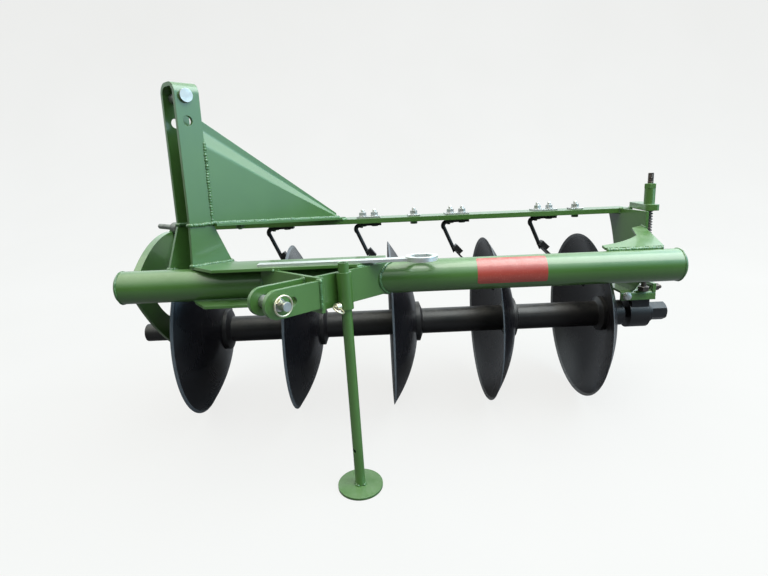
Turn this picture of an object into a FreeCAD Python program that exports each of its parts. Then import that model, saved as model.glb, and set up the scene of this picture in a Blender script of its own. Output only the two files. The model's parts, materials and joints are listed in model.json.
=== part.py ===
"""Disc plough for a small tractor: a gang of five dished discs carried at 45 degrees under a
welded frame, with a three-point hitch, scrapers and a parking stand.

The plough is drawn in its own frame, in millimetres: X runs along the gang axis, the front
tube lies towards -Y, and Z is square to the frame. The hitch is drawn in a frame turned about Z,
where t points the way the tractor pulls, u points to the plough's right and z is up.
At the end the whole plough is tipped to the way it parks, nose up on its stand.
"""
import FreeCAD, Part
import math
import os

Vector = FreeCAD.Vector
X_AXIS = Vector(1, 0, 0)
Y_AXIS = Vector(0, 1, 0)
Z_AXIS = Vector(0, 0, 1)

# ---- driving dimensions (mm, degrees) ----
# gang of discs: the axis is Y = 0, Z = 0, and the middle disc's rim lies at X = 0
DISC_COUNT = 5
DISC_PITCH = 240.0
DISC_RADIUS = 206.0
DISC_THICKNESS = 4.0
DISH_DEPTH = 68.0
DISC_FLAT_RADIUS = 56.0
DISC_FLAT_INSET = 1.0
DISC_EDGE_BEVEL = 9.0
DISC_EDGE_WIDTH = 0.8
DISC_MID_SLANT = 1.06
SHAFT_RADIUS = 14.0
SHAFT_FIT = 0.1
SHAFT_PAST_NUT = 4.0
SPOOL_RADIUS = 32.0
SPOOL_FLANGE_RADIUS = 50.0
SPOOL_SOCKET_RADIUS = 44.0
SPOOL_FLANGE_THICKNESS = 10.0
SPOOL_FILLET = 7.0
GANG_NUT_ACROSS_FLATS = 41.0
GANG_NUT_LENGTH = 40.0
GANG_WASHER_THICKNESS = 5.0
GANG_WASHER_RADIUS = 27.0
NUT_CROWN_SHARE = 0.98
NUT_CROWN_ANGLE = 30.0

# clearances and fits, and how far a cutting shape runs past what it cuts
WELD_GAP = 0.2
RUNNING_GAP = 0.3
PIN_FIT = 0.2
MOVING_CLEARANCE = 6.0
CUTTER_OVERRUN = 50.0
CUTTER_LIP = 1.0
FAR = 1000.0
SAME_PLACE = 0.01

# side plates, measured outward from the end discs' rims
LEFT_PLATE_ROOM = 61.0
RIGHT_PLATE_ROOM = 114.0
SIDE_PLATE_THICKNESS = 6.0

# front tube: past the side plates, ahead of the discs' front and below their top
TUBE_RADIUS = 34.0
TUBE_WALL = 5.0
TUBE_LEFT_OVERHANG = 21.0
TUBE_RIGHT_OVERHANG = 12.0
TUBE_AHEAD = 10.0
TUBE_BELOW_DISC_TOP = 46.0
TUBE_CAP_THICKNESS = 6.0
TUBE_CAP_BEVEL = 4.0
PLATE_ROOT_SHARE = 0.8

# rear beam, over the discs
BEAM_FRONT_Y = 40.0
BEAM_WIDTH = 75.0
BEAM_THICKNESS = 12.0
BEAM_ABOVE_DISCS = 44.0
BEAM_OVERHANG = 26.0

# outline of the left side plate
RIM_WIDTH = 9.0
RIM_THICKNESS = 5.0
ARCH_ROOT_Y = 16.0
ARCH_ROOT_DROP = 7.1593
PLATE_BEAM_LAP = 65.0
WAIST_BEAM_LAP = 28.0
WAIST_DEPTH = 74.0
ARM_ROOT_Y = 23.0
ARM_ROOT_DROP = 37.0
ARM_WIDTH = 84.0
ARM_REAR_DROP = 10.0
ARM_BOW = 6.0
ARM_HOLLOW_Y = 10.0
ARM_HOLLOW_Z = 14.0
CROTCH_SAG = 6.0
HUB_BOSS_RADIUS = 42.0
BOSS_FRONT_REACH = 0.9
BOSS_FRONT_DROP = 0.44
BOSS_REAR_REACH = 0.7
BOSS_REAR_RISE = 0.71
PLATE_BORE_CLEARANCE = 6.0

# outline of the right side plate
WALL_FRONT_Y = -90.0
WALL_FOOT_REAR_Y = 45.0
WALL_TONGUE_TOP = 8.0
WALL_TONGUE_RISE = 6.0
WALL_TONGUE_LOW = 52.0
WALL_TONGUE_SAG = 4.0
WALL_TONGUE_HEEL = 34.0

# bearings and the hood over the right one, along X from the right side plate's face
LEFT_BEARING_RADIUS = 22.0
LEFT_BEARING_LENGTH = 72.0
LEFT_BEARING_END = 6.0
LEFT_BEARING_ROUND = 4.0
RIGHT_BEARING_RADIUS = 38.0
RIGHT_BEARING_LENGTH = 50.0
BEARING_NECK_HALF_WIDTH = 32.3
BEARING_NECK_INSET = 3.0
BEARING_BASE_HALF_WIDTH = 45.0
BEARING_BASE_THICKNESS = 14.0
BEARING_HEIGHT = 60.0
HOOD_THICKNESS = 6.0
HOOD_LAP = 25.0
HOOD_REACH = 60.0
HOOD_FRONT_DEPTH = 18.0
HOOD_CHEEK_THICKNESS = 8.0
HOOD_CHEEK_DEPTH = 16.0
HOOD_BEND_RADIUS = 5.0

# hitch frame: how far it is turned, and how far behind the tube its origin lies; when the tube
# moves, the hitch follows it along the pull, so that its gusset still lands on the beam
HITCH_TURN = -135.0
HITCH_SETBACK = 216.0

# mast: heights are above the tube's top unless they say otherwise
MAST_FRONT_T = 442.0
MAST_BAR_WIDTH = 50.0
MAST_BAR_THICKNESS = 8.0
MAST_CENTRE_U = -154.0
MAST_OUTER_WIDTH = 60.0
MAST_HEIGHT = 366.0
MAST_BEND_RADIUS = 22.0
MAST_FOOT_HEIGHT = 89.0
MAST_FOOT_SPREAD = 36.0
MAST_FOOT_FRONT_SPREAD = 4.0
LEFT_FOOT_SPREAD = 36.0
LEFT_FOOT_DROP = 20.0
TOP_PIN_BELOW_TOP = 27.0
TOP_HOLE_SPACING = 47.0
TOP_HOLE_SETBACK = 21.0
TOP_PIN_RADIUS = 9.5
TOP_PIN_HEAD_RADIUS = 13.0
TOP_PIN_END = 18.0
TOP_PIN_CROSS_HOLE = 9.0
PIN_HEAD_THICKNESS = 6.0

# gusset behind the mast: its free edge is stepped aside, less and less towards the toe
GUSSET_THICKNESS = 5.0
GUSSET_WEB_DROP = 6.0
JOGGLE_BELOW_TOP = 120.0
JOGGLE_HEIGHT = 34.0
JOGGLE_DEPTH = 18.0
JOGGLE_RADIUS = 12.0
JOGGLE_ROOT = 12.0
GUSSET_RIM = 21.0
TOE_BEHIND_KNEE = 4.4315
TOE_JOGGLE_DROP = 2.0
TOE_JOGGLE_HEIGHT = 13.0
TOE_JOGGLE_DEPTH = 7.0
TOE_RIM = 5.0
STRIP_LAP = 14.0
STRIP_ABOVE_FOOT = 1.0
GUSSET_STRIP_WIDTH = 40.0
GUSSET_STRIP_THICKNESS = 6.0

# plates over and under the tube: how far they reach past its front and its back
HITCH_PLATE_THICKNESS = 6.0
HITCH_PLATE_FRONT = 32.0
HITCH_PLATE_REAR = 2.0
HITCH_PLATE_NOTCH = 8.0
UNDER_PLATE_REACH = 404.0
UNDER_PLATE_WIDTH = 182.0
UNDER_PLATE_FRONT = 36.0
UNDER_PLATE_LAP = 10.0
UNDER_PLATE_SIDE = 20.4
UNDER_PLATE_SLANT = 34.0
UNDER_PLATE_CORNER = 10.0

# bracket and clevis for the right lower link
BRACKET_FRONT_T = 361.0
BRACKET_REAR_T = 100.0
BRACKET_THICKNESS = 8.0
BRACKET_LEFT_U = -9.0
BRACKET_OUTER_U = 160.0
BRACKET_HEIGHT = 64.0
CLEVIS_CENTRE_U = 153.0
CLEVIS_GAP = 37.0
CLEVIS_HEIGHT = 50.0
CLEVIS_DROP = 4.0
CLEVIS_REACH = 116.0
CLEVIS_THICKNESS = 8.0
LINK_PIN_RADIUS = 11.0
LINK_PIN_HEAD_RADIUS = 16.0
LINK_PIN_SETBACK = 27.0
LINK_PIN_SHOULDER = 3.0
LINK_PIN_STUB_RADIUS = 8.0
LINK_PIN_STUB_END = 24.0
LINK_PIN_CROSS_HOLE = 13.0
SPARE_HOLE_SETBACK = 55.0
SPARE_HOLE_SHRINK = 3.0

# lynch pins
LYNCH_RING_RADIUS = 17.0
LYNCH_WIRE_RADIUS = 1.6
LYNCH_PIN_RADIUS = 3.0
LYNCH_TAIL = 6.0
LYNCH_HEAD = 7.0
LYNCH_COLLAR_GAP = 1.0
LYNCH_COLLAR_RIM = 2.5

# slim pin in the mast's left foot
LEFT_PIN_T = 409.0
LEFT_PIN_BELOW_FOOT_TOP = 12.0
LEFT_PIN_RADIUS = 6.0
LEFT_PIN_LENGTH = 163.0
LEFT_PIN_INNER_END = 10.0
LEFT_PIN_CHAMFER = 1.5
LEFT_PIN_COLLAR_RADIUS = 12.0
LEFT_PIN_COLLAR_START = 59.0
LEFT_PIN_COLLAR_END = 86.0
LEFT_PIN_COLLAR_ROUND = 3.0

# parking stand
STAND_T = 301.0
STAND_LEAN = 1.3
STAND_LEG_RADIUS = 10.0
STAND_LEG_WALL = 2.5
STAND_LEG_PAST_SLEEVE = 18.0
STAND_SLEEVE_WALL = 3.7
STAND_SLEEVE_HEIGHT = 70.0
STAND_SLEEVE_ABOVE_TUBE = 2.0
STAND_FOOT_RADIUS = 45.0
STAND_FOOT_THICKNESS = 5.0
STAND_PIN_DEPTH = 62.0
STAND_TRAVEL = 297.0
STAND_PIN_RADIUS = 4.0
STAND_PIN_DRAWN = 0.5
STAND_PIN_REACH = 14.0
STAND_PIN_COLLAR_START = 2.0
STAND_PIN_COLLAR_END = 12.0
STAND_PIN_COLLAR_RIM = 3.0
STAND_RING_RADIUS = 11.0
STAND_RING_TUCK = 3.0
STAND_RING_DROP = 4.0
STAND_RING_STEEPNESS = 0.85
STAND_RING_LEAN = 0.35
STAND_RING_TURN = 0.4
PARK_ANGLE = 6.0

# scrapers: their tops stand closer together than the discs
SCRAPER_PITCH_LESS = 13.0
SCRAPER_LAST_BEHIND = 109.0
SCRAPER_BEAM_LAP = 35.0
SCRAPER_ROD_RADIUS = 6.0
SCRAPER_ROD_LAP = 6.0
SCRAPER_BEND = 16.0
SCRAPER_BEND_FULLNESS = 0.5
SCRAPER_HOOK_LENGTH = 70.0
SCRAPER_BLOCK_DROP = 84.0
SCRAPER_BLOCK_STEP_X = 33.0
SCRAPER_BLOCK_WIDTH = 23.0
SCRAPER_BLOCK_BACK = 10.0
SCRAPER_BLOCK_FRONT = 14.0
SCRAPER_BLOCK_DEPTH = 16.0
SCRAPER_TIP_Z = 58.0
SCRAPER_BLADE_WIDTH = 46.0
SCRAPER_TIP_SHARE = 0.8
SCRAPER_BLADE_THICKNESS = 4.0
SCRAPER_CLEARANCE = 5.0
SCRAPER_DISC_SLANT = 1.1
CLAMP_LENGTH = 60.0
CLAMP_WIDTH = 44.0
CLAMP_THICKNESS = 4.0
CLAMP_OFFSET_X = 38.0
PAD_THICKNESS = 2.0
LUG_START = 9.6
LUG_THICKNESS = 6.0
LUG_WIDTH = 26.0

# rod with spring at the right-hand end
TAIL_ROD_OUT = 27.0
TAIL_ROD_AHEAD = 3.0
TAIL_ROD_RADIUS = 6.0
TAIL_ROD_ABOVE_BEAM = 86.0
TAIL_PLATE_THICKNESS = 14.0
TAIL_PLATE_WIDTH = 30.0
TAIL_PLATE_TURN = 80.0
TAIL_PLATE_FRONT = 30.0
TAIL_PLATE_REAR = 106.0
TAIL_PLATE_CORNER = 8.0
TAIL_SLEEVE_RADIUS = 12.0
TAIL_SLEEVE_LENGTH = 37.0
TAIL_NUT_ACROSS_FLATS = 24.0
TAIL_NUT_LENGTH = 11.0
SPRING_RADIUS = 8.2
SPRING_WIRE_RADIUS = 1.6
SPRING_LENGTH = 120.0
SPRING_TURNS = 18
SPRING_SEAT_THICKNESS = 6.0
SPRING_SEAT_RIM = 3.0

# forked corner gusset between the tube and the right side plate
CORNER_REACH = 144.0
CORNER_INSET = 21.0
CORNER_FRONT = 8.0
CORNER_TIP_WIDTH = 16.0
CORNER_THICKNESS = 5.0
CORNER_LAP = 22.0
CORNER_TONGUE = 30.0
CORNER_TONGUE_LAP = 7.0
CORNER_CROTCH_X = 14.0
CORNER_CROTCH_Y = 52.0
CORNER_HOLLOW_X = 4.0
CORNER_HOLLOW_Y = 7.0
CORNER_SLOPE = 11.7

# gang spanner that lies on the hitch plate
SPANNER_LENGTH = 355.0
SPANNER_BAR_WIDTH = 22.0
SPANNER_BAR_THICKNESS = 6.0
SPANNER_RING_RADIUS = 32.0
SPANNER_RING_THICKNESS = 9.0
SPANNER_FIT = 0.6
SPANNER_REACH = 262.0
SPANNER_EDGE = 20.0

# ---- worked out from the driving dimensions ----
LAST_DISC_X = DISC_PITCH * (DISC_COUNT - 1) / 2
FIRST_DISC_X = -LAST_DISC_X
LEFT_PLATE_FACE_X = FIRST_DISC_X - LEFT_PLATE_ROOM
RIGHT_PLATE_FACE_X = LAST_DISC_X + RIGHT_PLATE_ROOM
TUBE_LEFT_END = LEFT_PLATE_FACE_X - TUBE_LEFT_OVERHANG
TUBE_RIGHT_END = RIGHT_PLATE_FACE_X + TUBE_RIGHT_OVERHANG
TUBE_Y = -(DISC_RADIUS + TUBE_AHEAD)
TUBE_Z = DISC_RADIUS - TUBE_BELOW_DISC_TOP
TUBE_TOP_Z = TUBE_Z + TUBE_RADIUS
BEAM_BOTTOM_Z = DISC_RADIUS + BEAM_ABOVE_DISCS
BEAM_TOP_Z = BEAM_BOTTOM_Z + BEAM_THICKNESS
BEAM_REAR_Y = BEAM_FRONT_Y + BEAM_WIDTH
ARCH_RUN = BEAM_FRONT_Y - TUBE_Y - ARCH_ROOT_Y
ARCH_FALL = BEAM_BOTTOM_Z - TUBE_Z + ARCH_ROOT_DROP
ARCH_RADIUS = (ARCH_RUN ** 2 + ARCH_FALL ** 2) / (2 * ARCH_FALL)
PLATE_REAR_Y = BEAM_FRONT_Y + PLATE_BEAM_LAP
PLATE_WAIST_Y = BEAM_FRONT_Y + WAIST_BEAM_LAP
PLATE_WAIST_Z = BEAM_BOTTOM_Z - WAIST_DEPTH
HOOD_LEFT_X = RIGHT_PLATE_FACE_X - HOOD_LAP
HOOD_RIGHT_X = RIGHT_PLATE_FACE_X + HOOD_REACH
HITCH_ORIGIN = TUBE_Y + HITCH_SETBACK
UNDER_PLATE_LEFT_X = HITCH_ORIGIN - UNDER_PLATE_REACH
SPANNER_LEFT_X = HITCH_ORIGIN - SPANNER_REACH
HITCH_PLATE_TOP_Z = TUBE_TOP_Z + HITCH_PLATE_THICKNESS
HITCH_PLATE_FRONT_Y = TUBE_Y - TUBE_RADIUS - HITCH_PLATE_FRONT
HITCH_PLATE_REAR_Y = TUBE_Y + TUBE_RADIUS + HITCH_PLATE_REAR
MAST_REAR_T = MAST_FRONT_T - MAST_BAR_WIDTH
MAST_RIGHT_U = MAST_CENTRE_U + MAST_OUTER_WIDTH / 2
MAST_LEFT_U = MAST_CENTRE_U - MAST_OUTER_WIDTH / 2
MAST_TOP_Z = TUBE_TOP_Z + MAST_HEIGHT
MAST_FOOT_TOP_Z = TUBE_TOP_Z + MAST_FOOT_HEIGHT
TOP_PIN_Z = MAST_TOP_Z - TOP_PIN_BELOW_TOP
SPARE_HOLE_Z = TOP_PIN_Z - TOP_HOLE_SPACING
JOGGLE_START_Z = MAST_TOP_Z - JOGGLE_BELOW_TOP
TOE_JOGGLE_START_Z = BEAM_TOP_Z - TOE_JOGGLE_DROP
LEFT_PIN_Z = MAST_FOOT_TOP_Z - LEFT_PIN_BELOW_FOOT_TOP
BRACKET_BOTTOM_Z = TUBE_TOP_Z - BRACKET_HEIGHT
STAND_SLEEVE_RADIUS = STAND_LEG_RADIUS + RUNNING_GAP + STAND_SLEEVE_WALL
STAND_U = BRACKET_OUTER_U + STAND_SLEEVE_RADIUS
STAND_SLEEVE_TOP_Z = TUBE_TOP_Z + STAND_SLEEVE_ABOVE_TUBE
STAND_LEG_TOP_Z = STAND_SLEEVE_TOP_Z + STAND_LEG_PAST_SLEEVE
STAND_PIN_Z = STAND_SLEEVE_TOP_Z - STAND_PIN_DEPTH
STAND_LOWER_HOLE_Z = STAND_PIN_Z - STAND_TRAVEL
SCRAPER_PITCH = DISC_PITCH - SCRAPER_PITCH_LESS
SCRAPER_Y = BEAM_FRONT_Y + SCRAPER_BEAM_LAP
SCRAPER_BLOCK_Z = BEAM_BOTTOM_Z - SCRAPER_BLOCK_DROP
TAIL_ROD_X = RIGHT_PLATE_FACE_X + TAIL_ROD_OUT
TAIL_ROD_Y = -BEARING_BASE_HALF_WIDTH - TAIL_ROD_AHEAD
TAIL_ROD_TOP_Z = BEAM_TOP_Z + TAIL_ROD_ABOVE_BEAM
SPANNER_Y = HITCH_PLATE_FRONT_Y + SPANNER_EDGE


# ---- shape helpers ----
def box(x0, x1, y0, y1, z0, z1):
    """Plain block between two corners."""
    return Part.makeBox(x1 - x0, y1 - y0, z1 - z0, Vector(x0, y0, z0))


def rod(start, end, radius):
    """Solid cylinder from one point to another."""
    direction = end - start
    return Part.makeCylinder(radius, direction.Length, start, direction)


def ring(start, end, outer, inner):
    """Tube from one point to another."""
    return rod(start, end, outer).cut(rod(start, end, inner))


def prism(points, along):
    """Polygon pushed along a vector."""
    outline = Part.makePolygon(points + [points[0]])
    return Part.Face(outline).extrude(along)


def arc_through(a, b, c):
    """Edge of the circle through three points."""
    return Part.Arc(a, b, c).toShape()


def line(a, b):
    """Straight edge."""
    return Part.makeLine(a, b)


def rounded_path(points, radii):
    """Edges of an open path whose inner corners are rounded by the given radii."""
    edges = []
    start = points[0]
    for before, corner, after, radius in zip(points, points[1:], points[2:], radii):
        back = (before - corner).normalize()
        ahead = (after - corner).normalize()
        half_angle = back.getAngle(ahead) / 2
        setback = radius / math.tan(half_angle)
        bisector = (back + ahead).normalize()
        middle = corner + bisector * (radius / math.sin(half_angle) - radius)
        edges.append(line(start, corner + back * setback))
        edges.append(arc_through(corner + back * setback, middle, corner + ahead * setback))
        start = corner + ahead * setback
    edges.append(line(start, points[-1]))
    return edges


def hexagon(centre, across_flats, length, direction):
    """Hexagonal bar with chamfered corners, for nuts."""
    corner = across_flats / math.sqrt(3)
    points = []
    for index in range(6):
        angle = math.radians(60 * index)
        points.append(Vector(corner * math.cos(angle), corner * math.sin(angle), 0))
    nut = prism(points, Z_AXIS * length)
    end_radius = across_flats / 2 * NUT_CROWN_SHARE
    bevel = (corner - end_radius) * math.tan(math.radians(NUT_CROWN_ANGLE))
    body = Part.makeCylinder(corner, length - bevel)
    crown = Part.makeCone(corner, end_radius, bevel, Vector(0, 0, length - bevel))
    nut = nut.common(body.fuse(crown))
    nut.Placement = FreeCAD.Placement(centre, FreeCAD.Rotation(Z_AXIS, direction))
    return nut


def in_hitch(shape):
    """Turn a shape drawn in t, u, z to the plough's frame."""
    turned = shape.copy()
    turned.rotate(Vector(0, 0, 0), Z_AXIS, HITCH_TURN)
    turned.translate(Vector(HITCH_ORIGIN, HITCH_ORIGIN, 0))
    return turned


def hitch_point(t, u):
    """Point of the hitch frame in the plough's frame."""
    return in_hitch(Part.Vertex(t, u, 0)).Point


def hitch_direction(t, u):
    """Direction in the hitch frame, in the plough's frame."""
    return hitch_point(t, u) - hitch_point(0, 0)


def tube_seat():
    """Space that the front tube takes, with the weld gap, for coping what is welded to it."""
    start = Vector(TUBE_LEFT_END - CUTTER_OVERRUN, TUBE_Y, TUBE_Z)
    end = Vector(TUBE_RIGHT_END + CUTTER_OVERRUN, TUBE_Y, TUBE_Z)
    return rod(start, end, TUBE_RADIUS + WELD_GAP)


# ---- gang: discs, spools, shaft ----
def disc_x(index):
    """X of a disc's rim."""
    return FIRST_DISC_X + index * DISC_PITCH


def dish_face_x(radius_from_axis, depth):
    """How far a dished face lies behind its rim plane at a radius from the axis."""
    sphere = (DISC_RADIUS ** 2 + depth ** 2) / (2 * depth)
    return depth - sphere + math.sqrt(sphere ** 2 - radius_from_axis ** 2)


def disc(index):
    """Dished disc with a flat centre and a bevelled cutting edge; the hollow faces -X."""
    x = disc_x(index)
    inner_depth = DISH_DEPTH - DISC_THICKNESS
    flat_back = dish_face_x(DISC_FLAT_RADIUS, DISH_DEPTH)
    mid_radius = (DISC_RADIUS + DISC_FLAT_RADIUS) / 2
    bevel_radius = DISC_RADIUS - DISC_EDGE_BEVEL
    hole = SHAFT_RADIUS + SHAFT_FIT
    back = [Vector(x + flat_back, hole, 0),
            Vector(x + flat_back, DISC_FLAT_RADIUS, 0),
            Vector(x + dish_face_x(mid_radius, DISH_DEPTH), mid_radius, 0),
            Vector(x + dish_face_x(bevel_radius, DISH_DEPTH), bevel_radius, 0)]
    front_edge = Vector(x, DISC_RADIUS, 0)
    tip = Vector(x + DISC_EDGE_WIDTH, DISC_RADIUS, 0)
    front_x = flat_back - DISC_THICKNESS
    front_mid = dish_face_x(mid_radius, DISH_DEPTH) - DISC_THICKNESS * DISC_MID_SLANT
    front = [Vector(x + front_mid, mid_radius, 0),
             Vector(x + front_x, DISC_FLAT_RADIUS - DISC_FLAT_INSET, 0),
             Vector(x + front_x, hole, 0)]
    edges = [line(back[0], back[1]), arc_through(back[1], back[2], back[3]),
             line(back[3], tip), line(tip, front_edge),
             arc_through(front_edge, front[0], front[1]), line(front[1], front[2]),
             line(front[2], back[0])]
    return Part.Face(Part.Wire(edges)).revolve(Vector(0, 0, 0), X_AXIS, 360)


def disc_back_x(index):
    """X of the flat centre's convex side, where a spool's flange seats."""
    return disc_x(index) + dish_face_x(DISC_FLAT_RADIUS, DISH_DEPTH)


def disc_front_x(index):
    """X of the flat centre's hollow side, where the next spool ends."""
    return disc_back_x(index) - DISC_THICKNESS


def spool(start_x, end_x, start_flange, end_flange):
    """Cast spacer with a bell at each end that clamps a disc; a flange of 0 leaves a plain end."""
    hole = SHAFT_RADIUS + SHAFT_FIT
    points = [Vector(start_x, hole, 0)]
    if start_flange:
        points += [Vector(start_x, start_flange, 0),
                   Vector(start_x + SPOOL_FLANGE_THICKNESS, start_flange, 0),
                   Vector(start_x + SPOOL_FLANGE_THICKNESS + SPOOL_FILLET, SPOOL_RADIUS, 0)]
    else:
        points += [Vector(start_x, SPOOL_RADIUS, 0)]
    if end_flange:
        points += [Vector(end_x - SPOOL_FLANGE_THICKNESS - SPOOL_FILLET, SPOOL_RADIUS, 0),
                   Vector(end_x - SPOOL_FLANGE_THICKNESS, end_flange, 0),
                   Vector(end_x, end_flange, 0)]
    else:
        points += [Vector(end_x, SPOOL_RADIUS, 0)]
    points += [Vector(end_x, hole, 0)]
    outline = Part.makePolygon(points + [points[0]])
    return Part.Face(outline).revolve(Vector(0, 0, 0), X_AXIS, 360)


def gang_parts():
    """Everything that turns with the gang."""
    parts = {}
    for index in range(DISC_COUNT):
        parts["disc_%d" % (index + 1)] = disc(index)
    for index in range(DISC_COUNT - 1):
        parts["spool_%d" % (index + 1)] = spool(disc_back_x(index), disc_front_x(index + 1),
                                                SPOOL_FLANGE_RADIUS, SPOOL_SOCKET_RADIUS)
    left_start = LEFT_PLATE_FACE_X + MOVING_CLEARANCE
    parts["spool_left_end"] = spool(left_start, disc_front_x(0), 0, SPOOL_SOCKET_RADIUS)
    right_end = RIGHT_PLATE_FACE_X - MOVING_CLEARANCE
    parts["spool_right_end"] = spool(disc_back_x(DISC_COUNT - 1), right_end,
                                     SPOOL_FLANGE_RADIUS, 0)
    housing_end = RIGHT_PLATE_FACE_X + SIDE_PLATE_THICKNESS + RIGHT_BEARING_LENGTH
    washer_x = housing_end + MOVING_CLEARANCE
    nut_x = washer_x + GANG_WASHER_THICKNESS
    shaft_start = LEFT_PLATE_FACE_X - SIDE_PLATE_THICKNESS - LEFT_BEARING_LENGTH + LEFT_BEARING_END
    shaft_start += MOVING_CLEARANCE
    shaft_end = nut_x + GANG_NUT_LENGTH + SHAFT_PAST_NUT
    parts["gang_shaft"] = rod(Vector(shaft_start, 0, 0), Vector(shaft_end, 0, 0), SHAFT_RADIUS)
    hole = rod(Vector(washer_x, 0, 0), Vector(shaft_end, 0, 0), SHAFT_RADIUS + SHAFT_FIT)
    washer = rod(Vector(washer_x, 0, 0), Vector(nut_x, 0, 0), GANG_WASHER_RADIUS)
    nut = hexagon(Vector(nut_x, 0, 0), GANG_NUT_ACROSS_FLATS, GANG_NUT_LENGTH, X_AXIS)
    parts["gang_nut"] = washer.fuse(nut).cut(hole)
    return parts


# ---- frame ----
def main_tube():
    """Round front tube that everything is welded to."""
    axis_start = Vector(TUBE_LEFT_END + TUBE_CAP_THICKNESS, TUBE_Y, TUBE_Z)
    axis_end = Vector(TUBE_RIGHT_END - TUBE_CAP_THICKNESS, TUBE_Y, TUBE_Z)
    return ring(axis_start, axis_end, TUBE_RADIUS, TUBE_RADIUS - TUBE_WALL)


def tube_caps():
    """Bevelled discs that close both ends of the front tube."""
    face_radius = TUBE_RADIUS - TUBE_CAP_BEVEL
    left = Part.makeCone(TUBE_RADIUS, face_radius, TUBE_CAP_THICKNESS,
                         Vector(TUBE_LEFT_END + TUBE_CAP_THICKNESS, TUBE_Y, TUBE_Z), X_AXIS * -1)
    right = Part.makeCone(TUBE_RADIUS, face_radius, TUBE_CAP_THICKNESS,
                          Vector(TUBE_RIGHT_END - TUBE_CAP_THICKNESS, TUBE_Y, TUBE_Z), X_AXIS)
    return Part.makeCompound([left, right])


def rear_beam():
    """Flat bar across the back, over the discs; it runs a little past the right side plate."""
    left = LEFT_PLATE_FACE_X - SIDE_PLATE_THICKNESS
    right = RIGHT_PLATE_FACE_X + SIDE_PLATE_THICKNESS + BEAM_OVERHANG
    return box(left, right, BEAM_FRONT_Y, BEAM_REAR_Y, BEAM_BOTTOM_Z, BEAM_TOP_Z)


def arch_point(y, inset=0.0):
    """Point on the side plate's arched top edge, or on a curve set in from it."""
    radius = ARCH_RADIUS - inset
    drop = radius - math.sqrt(radius ** 2 - (y - BEAM_FRONT_Y) ** 2)
    return Vector(0, y, BEAM_BOTTOM_Z - inset - drop)


def left_side_plate():
    """Boomerang plate: its arch runs from the tube to the beam, its arm down to the gang."""
    rear_top = Vector(0, PLATE_REAR_Y, BEAM_BOTTOM_Z)
    waist = Vector(0, PLATE_WAIST_Y, PLATE_WAIST_Z)
    tube_end = arch_point(TUBE_Y + ARCH_ROOT_Y)
    tangent = arch_point(BEAM_FRONT_Y)
    arm_front = Vector(0, TUBE_Y + ARM_ROOT_Y, TUBE_Z - ARM_ROOT_DROP)
    arm_rear = arm_front + Vector(0, ARM_WIDTH, -ARM_REAR_DROP)
    crotch = (waist + arm_rear) / 2 + Vector(0, 0, -CROTCH_SAG)
    boss_front = Vector(0, -BOSS_FRONT_REACH, -BOSS_FRONT_DROP) * HUB_BOSS_RADIUS
    boss_bottom = Vector(0, 0, -HUB_BOSS_RADIUS)
    boss_rear = Vector(0, BOSS_REAR_REACH, BOSS_REAR_RISE) * HUB_BOSS_RADIUS
    arm_middle = (arm_front + boss_front) / 2 + Vector(0, -ARM_BOW, -ARM_BOW)
    hollow = (arm_rear + boss_rear) / 2 + Vector(0, -ARM_HOLLOW_Y, -ARM_HOLLOW_Z)
    arch_middle = arch_point((tube_end.y + BEAM_FRONT_Y) / 2)
    edges = [arc_through(tube_end, arch_middle, tangent), line(tangent, rear_top),
             arc_through(rear_top, waist, crotch), line(crotch, arm_rear),
             arc_through(arm_rear, hollow, boss_rear),
             arc_through(boss_rear, boss_bottom, boss_front),
             arc_through(boss_front, arm_middle, arm_front), line(arm_front, tube_end)]
    plate = Part.Face(Part.Wire(edges)).extrude(X_AXIS * -SIDE_PLATE_THICKNESS)
    plate = plate.fuse(arch_flange()).removeSplitter()
    plate.translate(Vector(LEFT_PLATE_FACE_X, 0, 0))
    bore = rod(Vector(LEFT_PLATE_FACE_X - CUTTER_OVERRUN, 0, 0),
               Vector(LEFT_PLATE_FACE_X + CUTTER_OVERRUN, 0, 0),
               SHAFT_RADIUS + PLATE_BORE_CLEARANCE)
    return plate.cut(tube_seat()).cut(bore)


def arch_flange():
    """Flange turned outward along the arch, up to the beam's front edge."""
    tube_end = arch_point(TUBE_Y + ARCH_ROOT_Y)
    tangent = arch_point(BEAM_FRONT_Y)
    middle_y = (tube_end.y + BEAM_FRONT_Y) / 2
    inner_end = arch_point(tube_end.y, RIM_THICKNESS)
    inner_tangent = arch_point(BEAM_FRONT_Y, RIM_THICKNESS)
    edges = [arc_through(tube_end, arch_point(middle_y), tangent),
             line(tangent, inner_tangent),
             arc_through(inner_tangent, arch_point(middle_y, RIM_THICKNESS), inner_end),
             line(inner_end, tube_end)]
    width = SIDE_PLATE_THICKNESS + RIM_WIDTH
    return Part.Face(Part.Wire(edges)).extrude(X_AXIS * -width)


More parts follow.
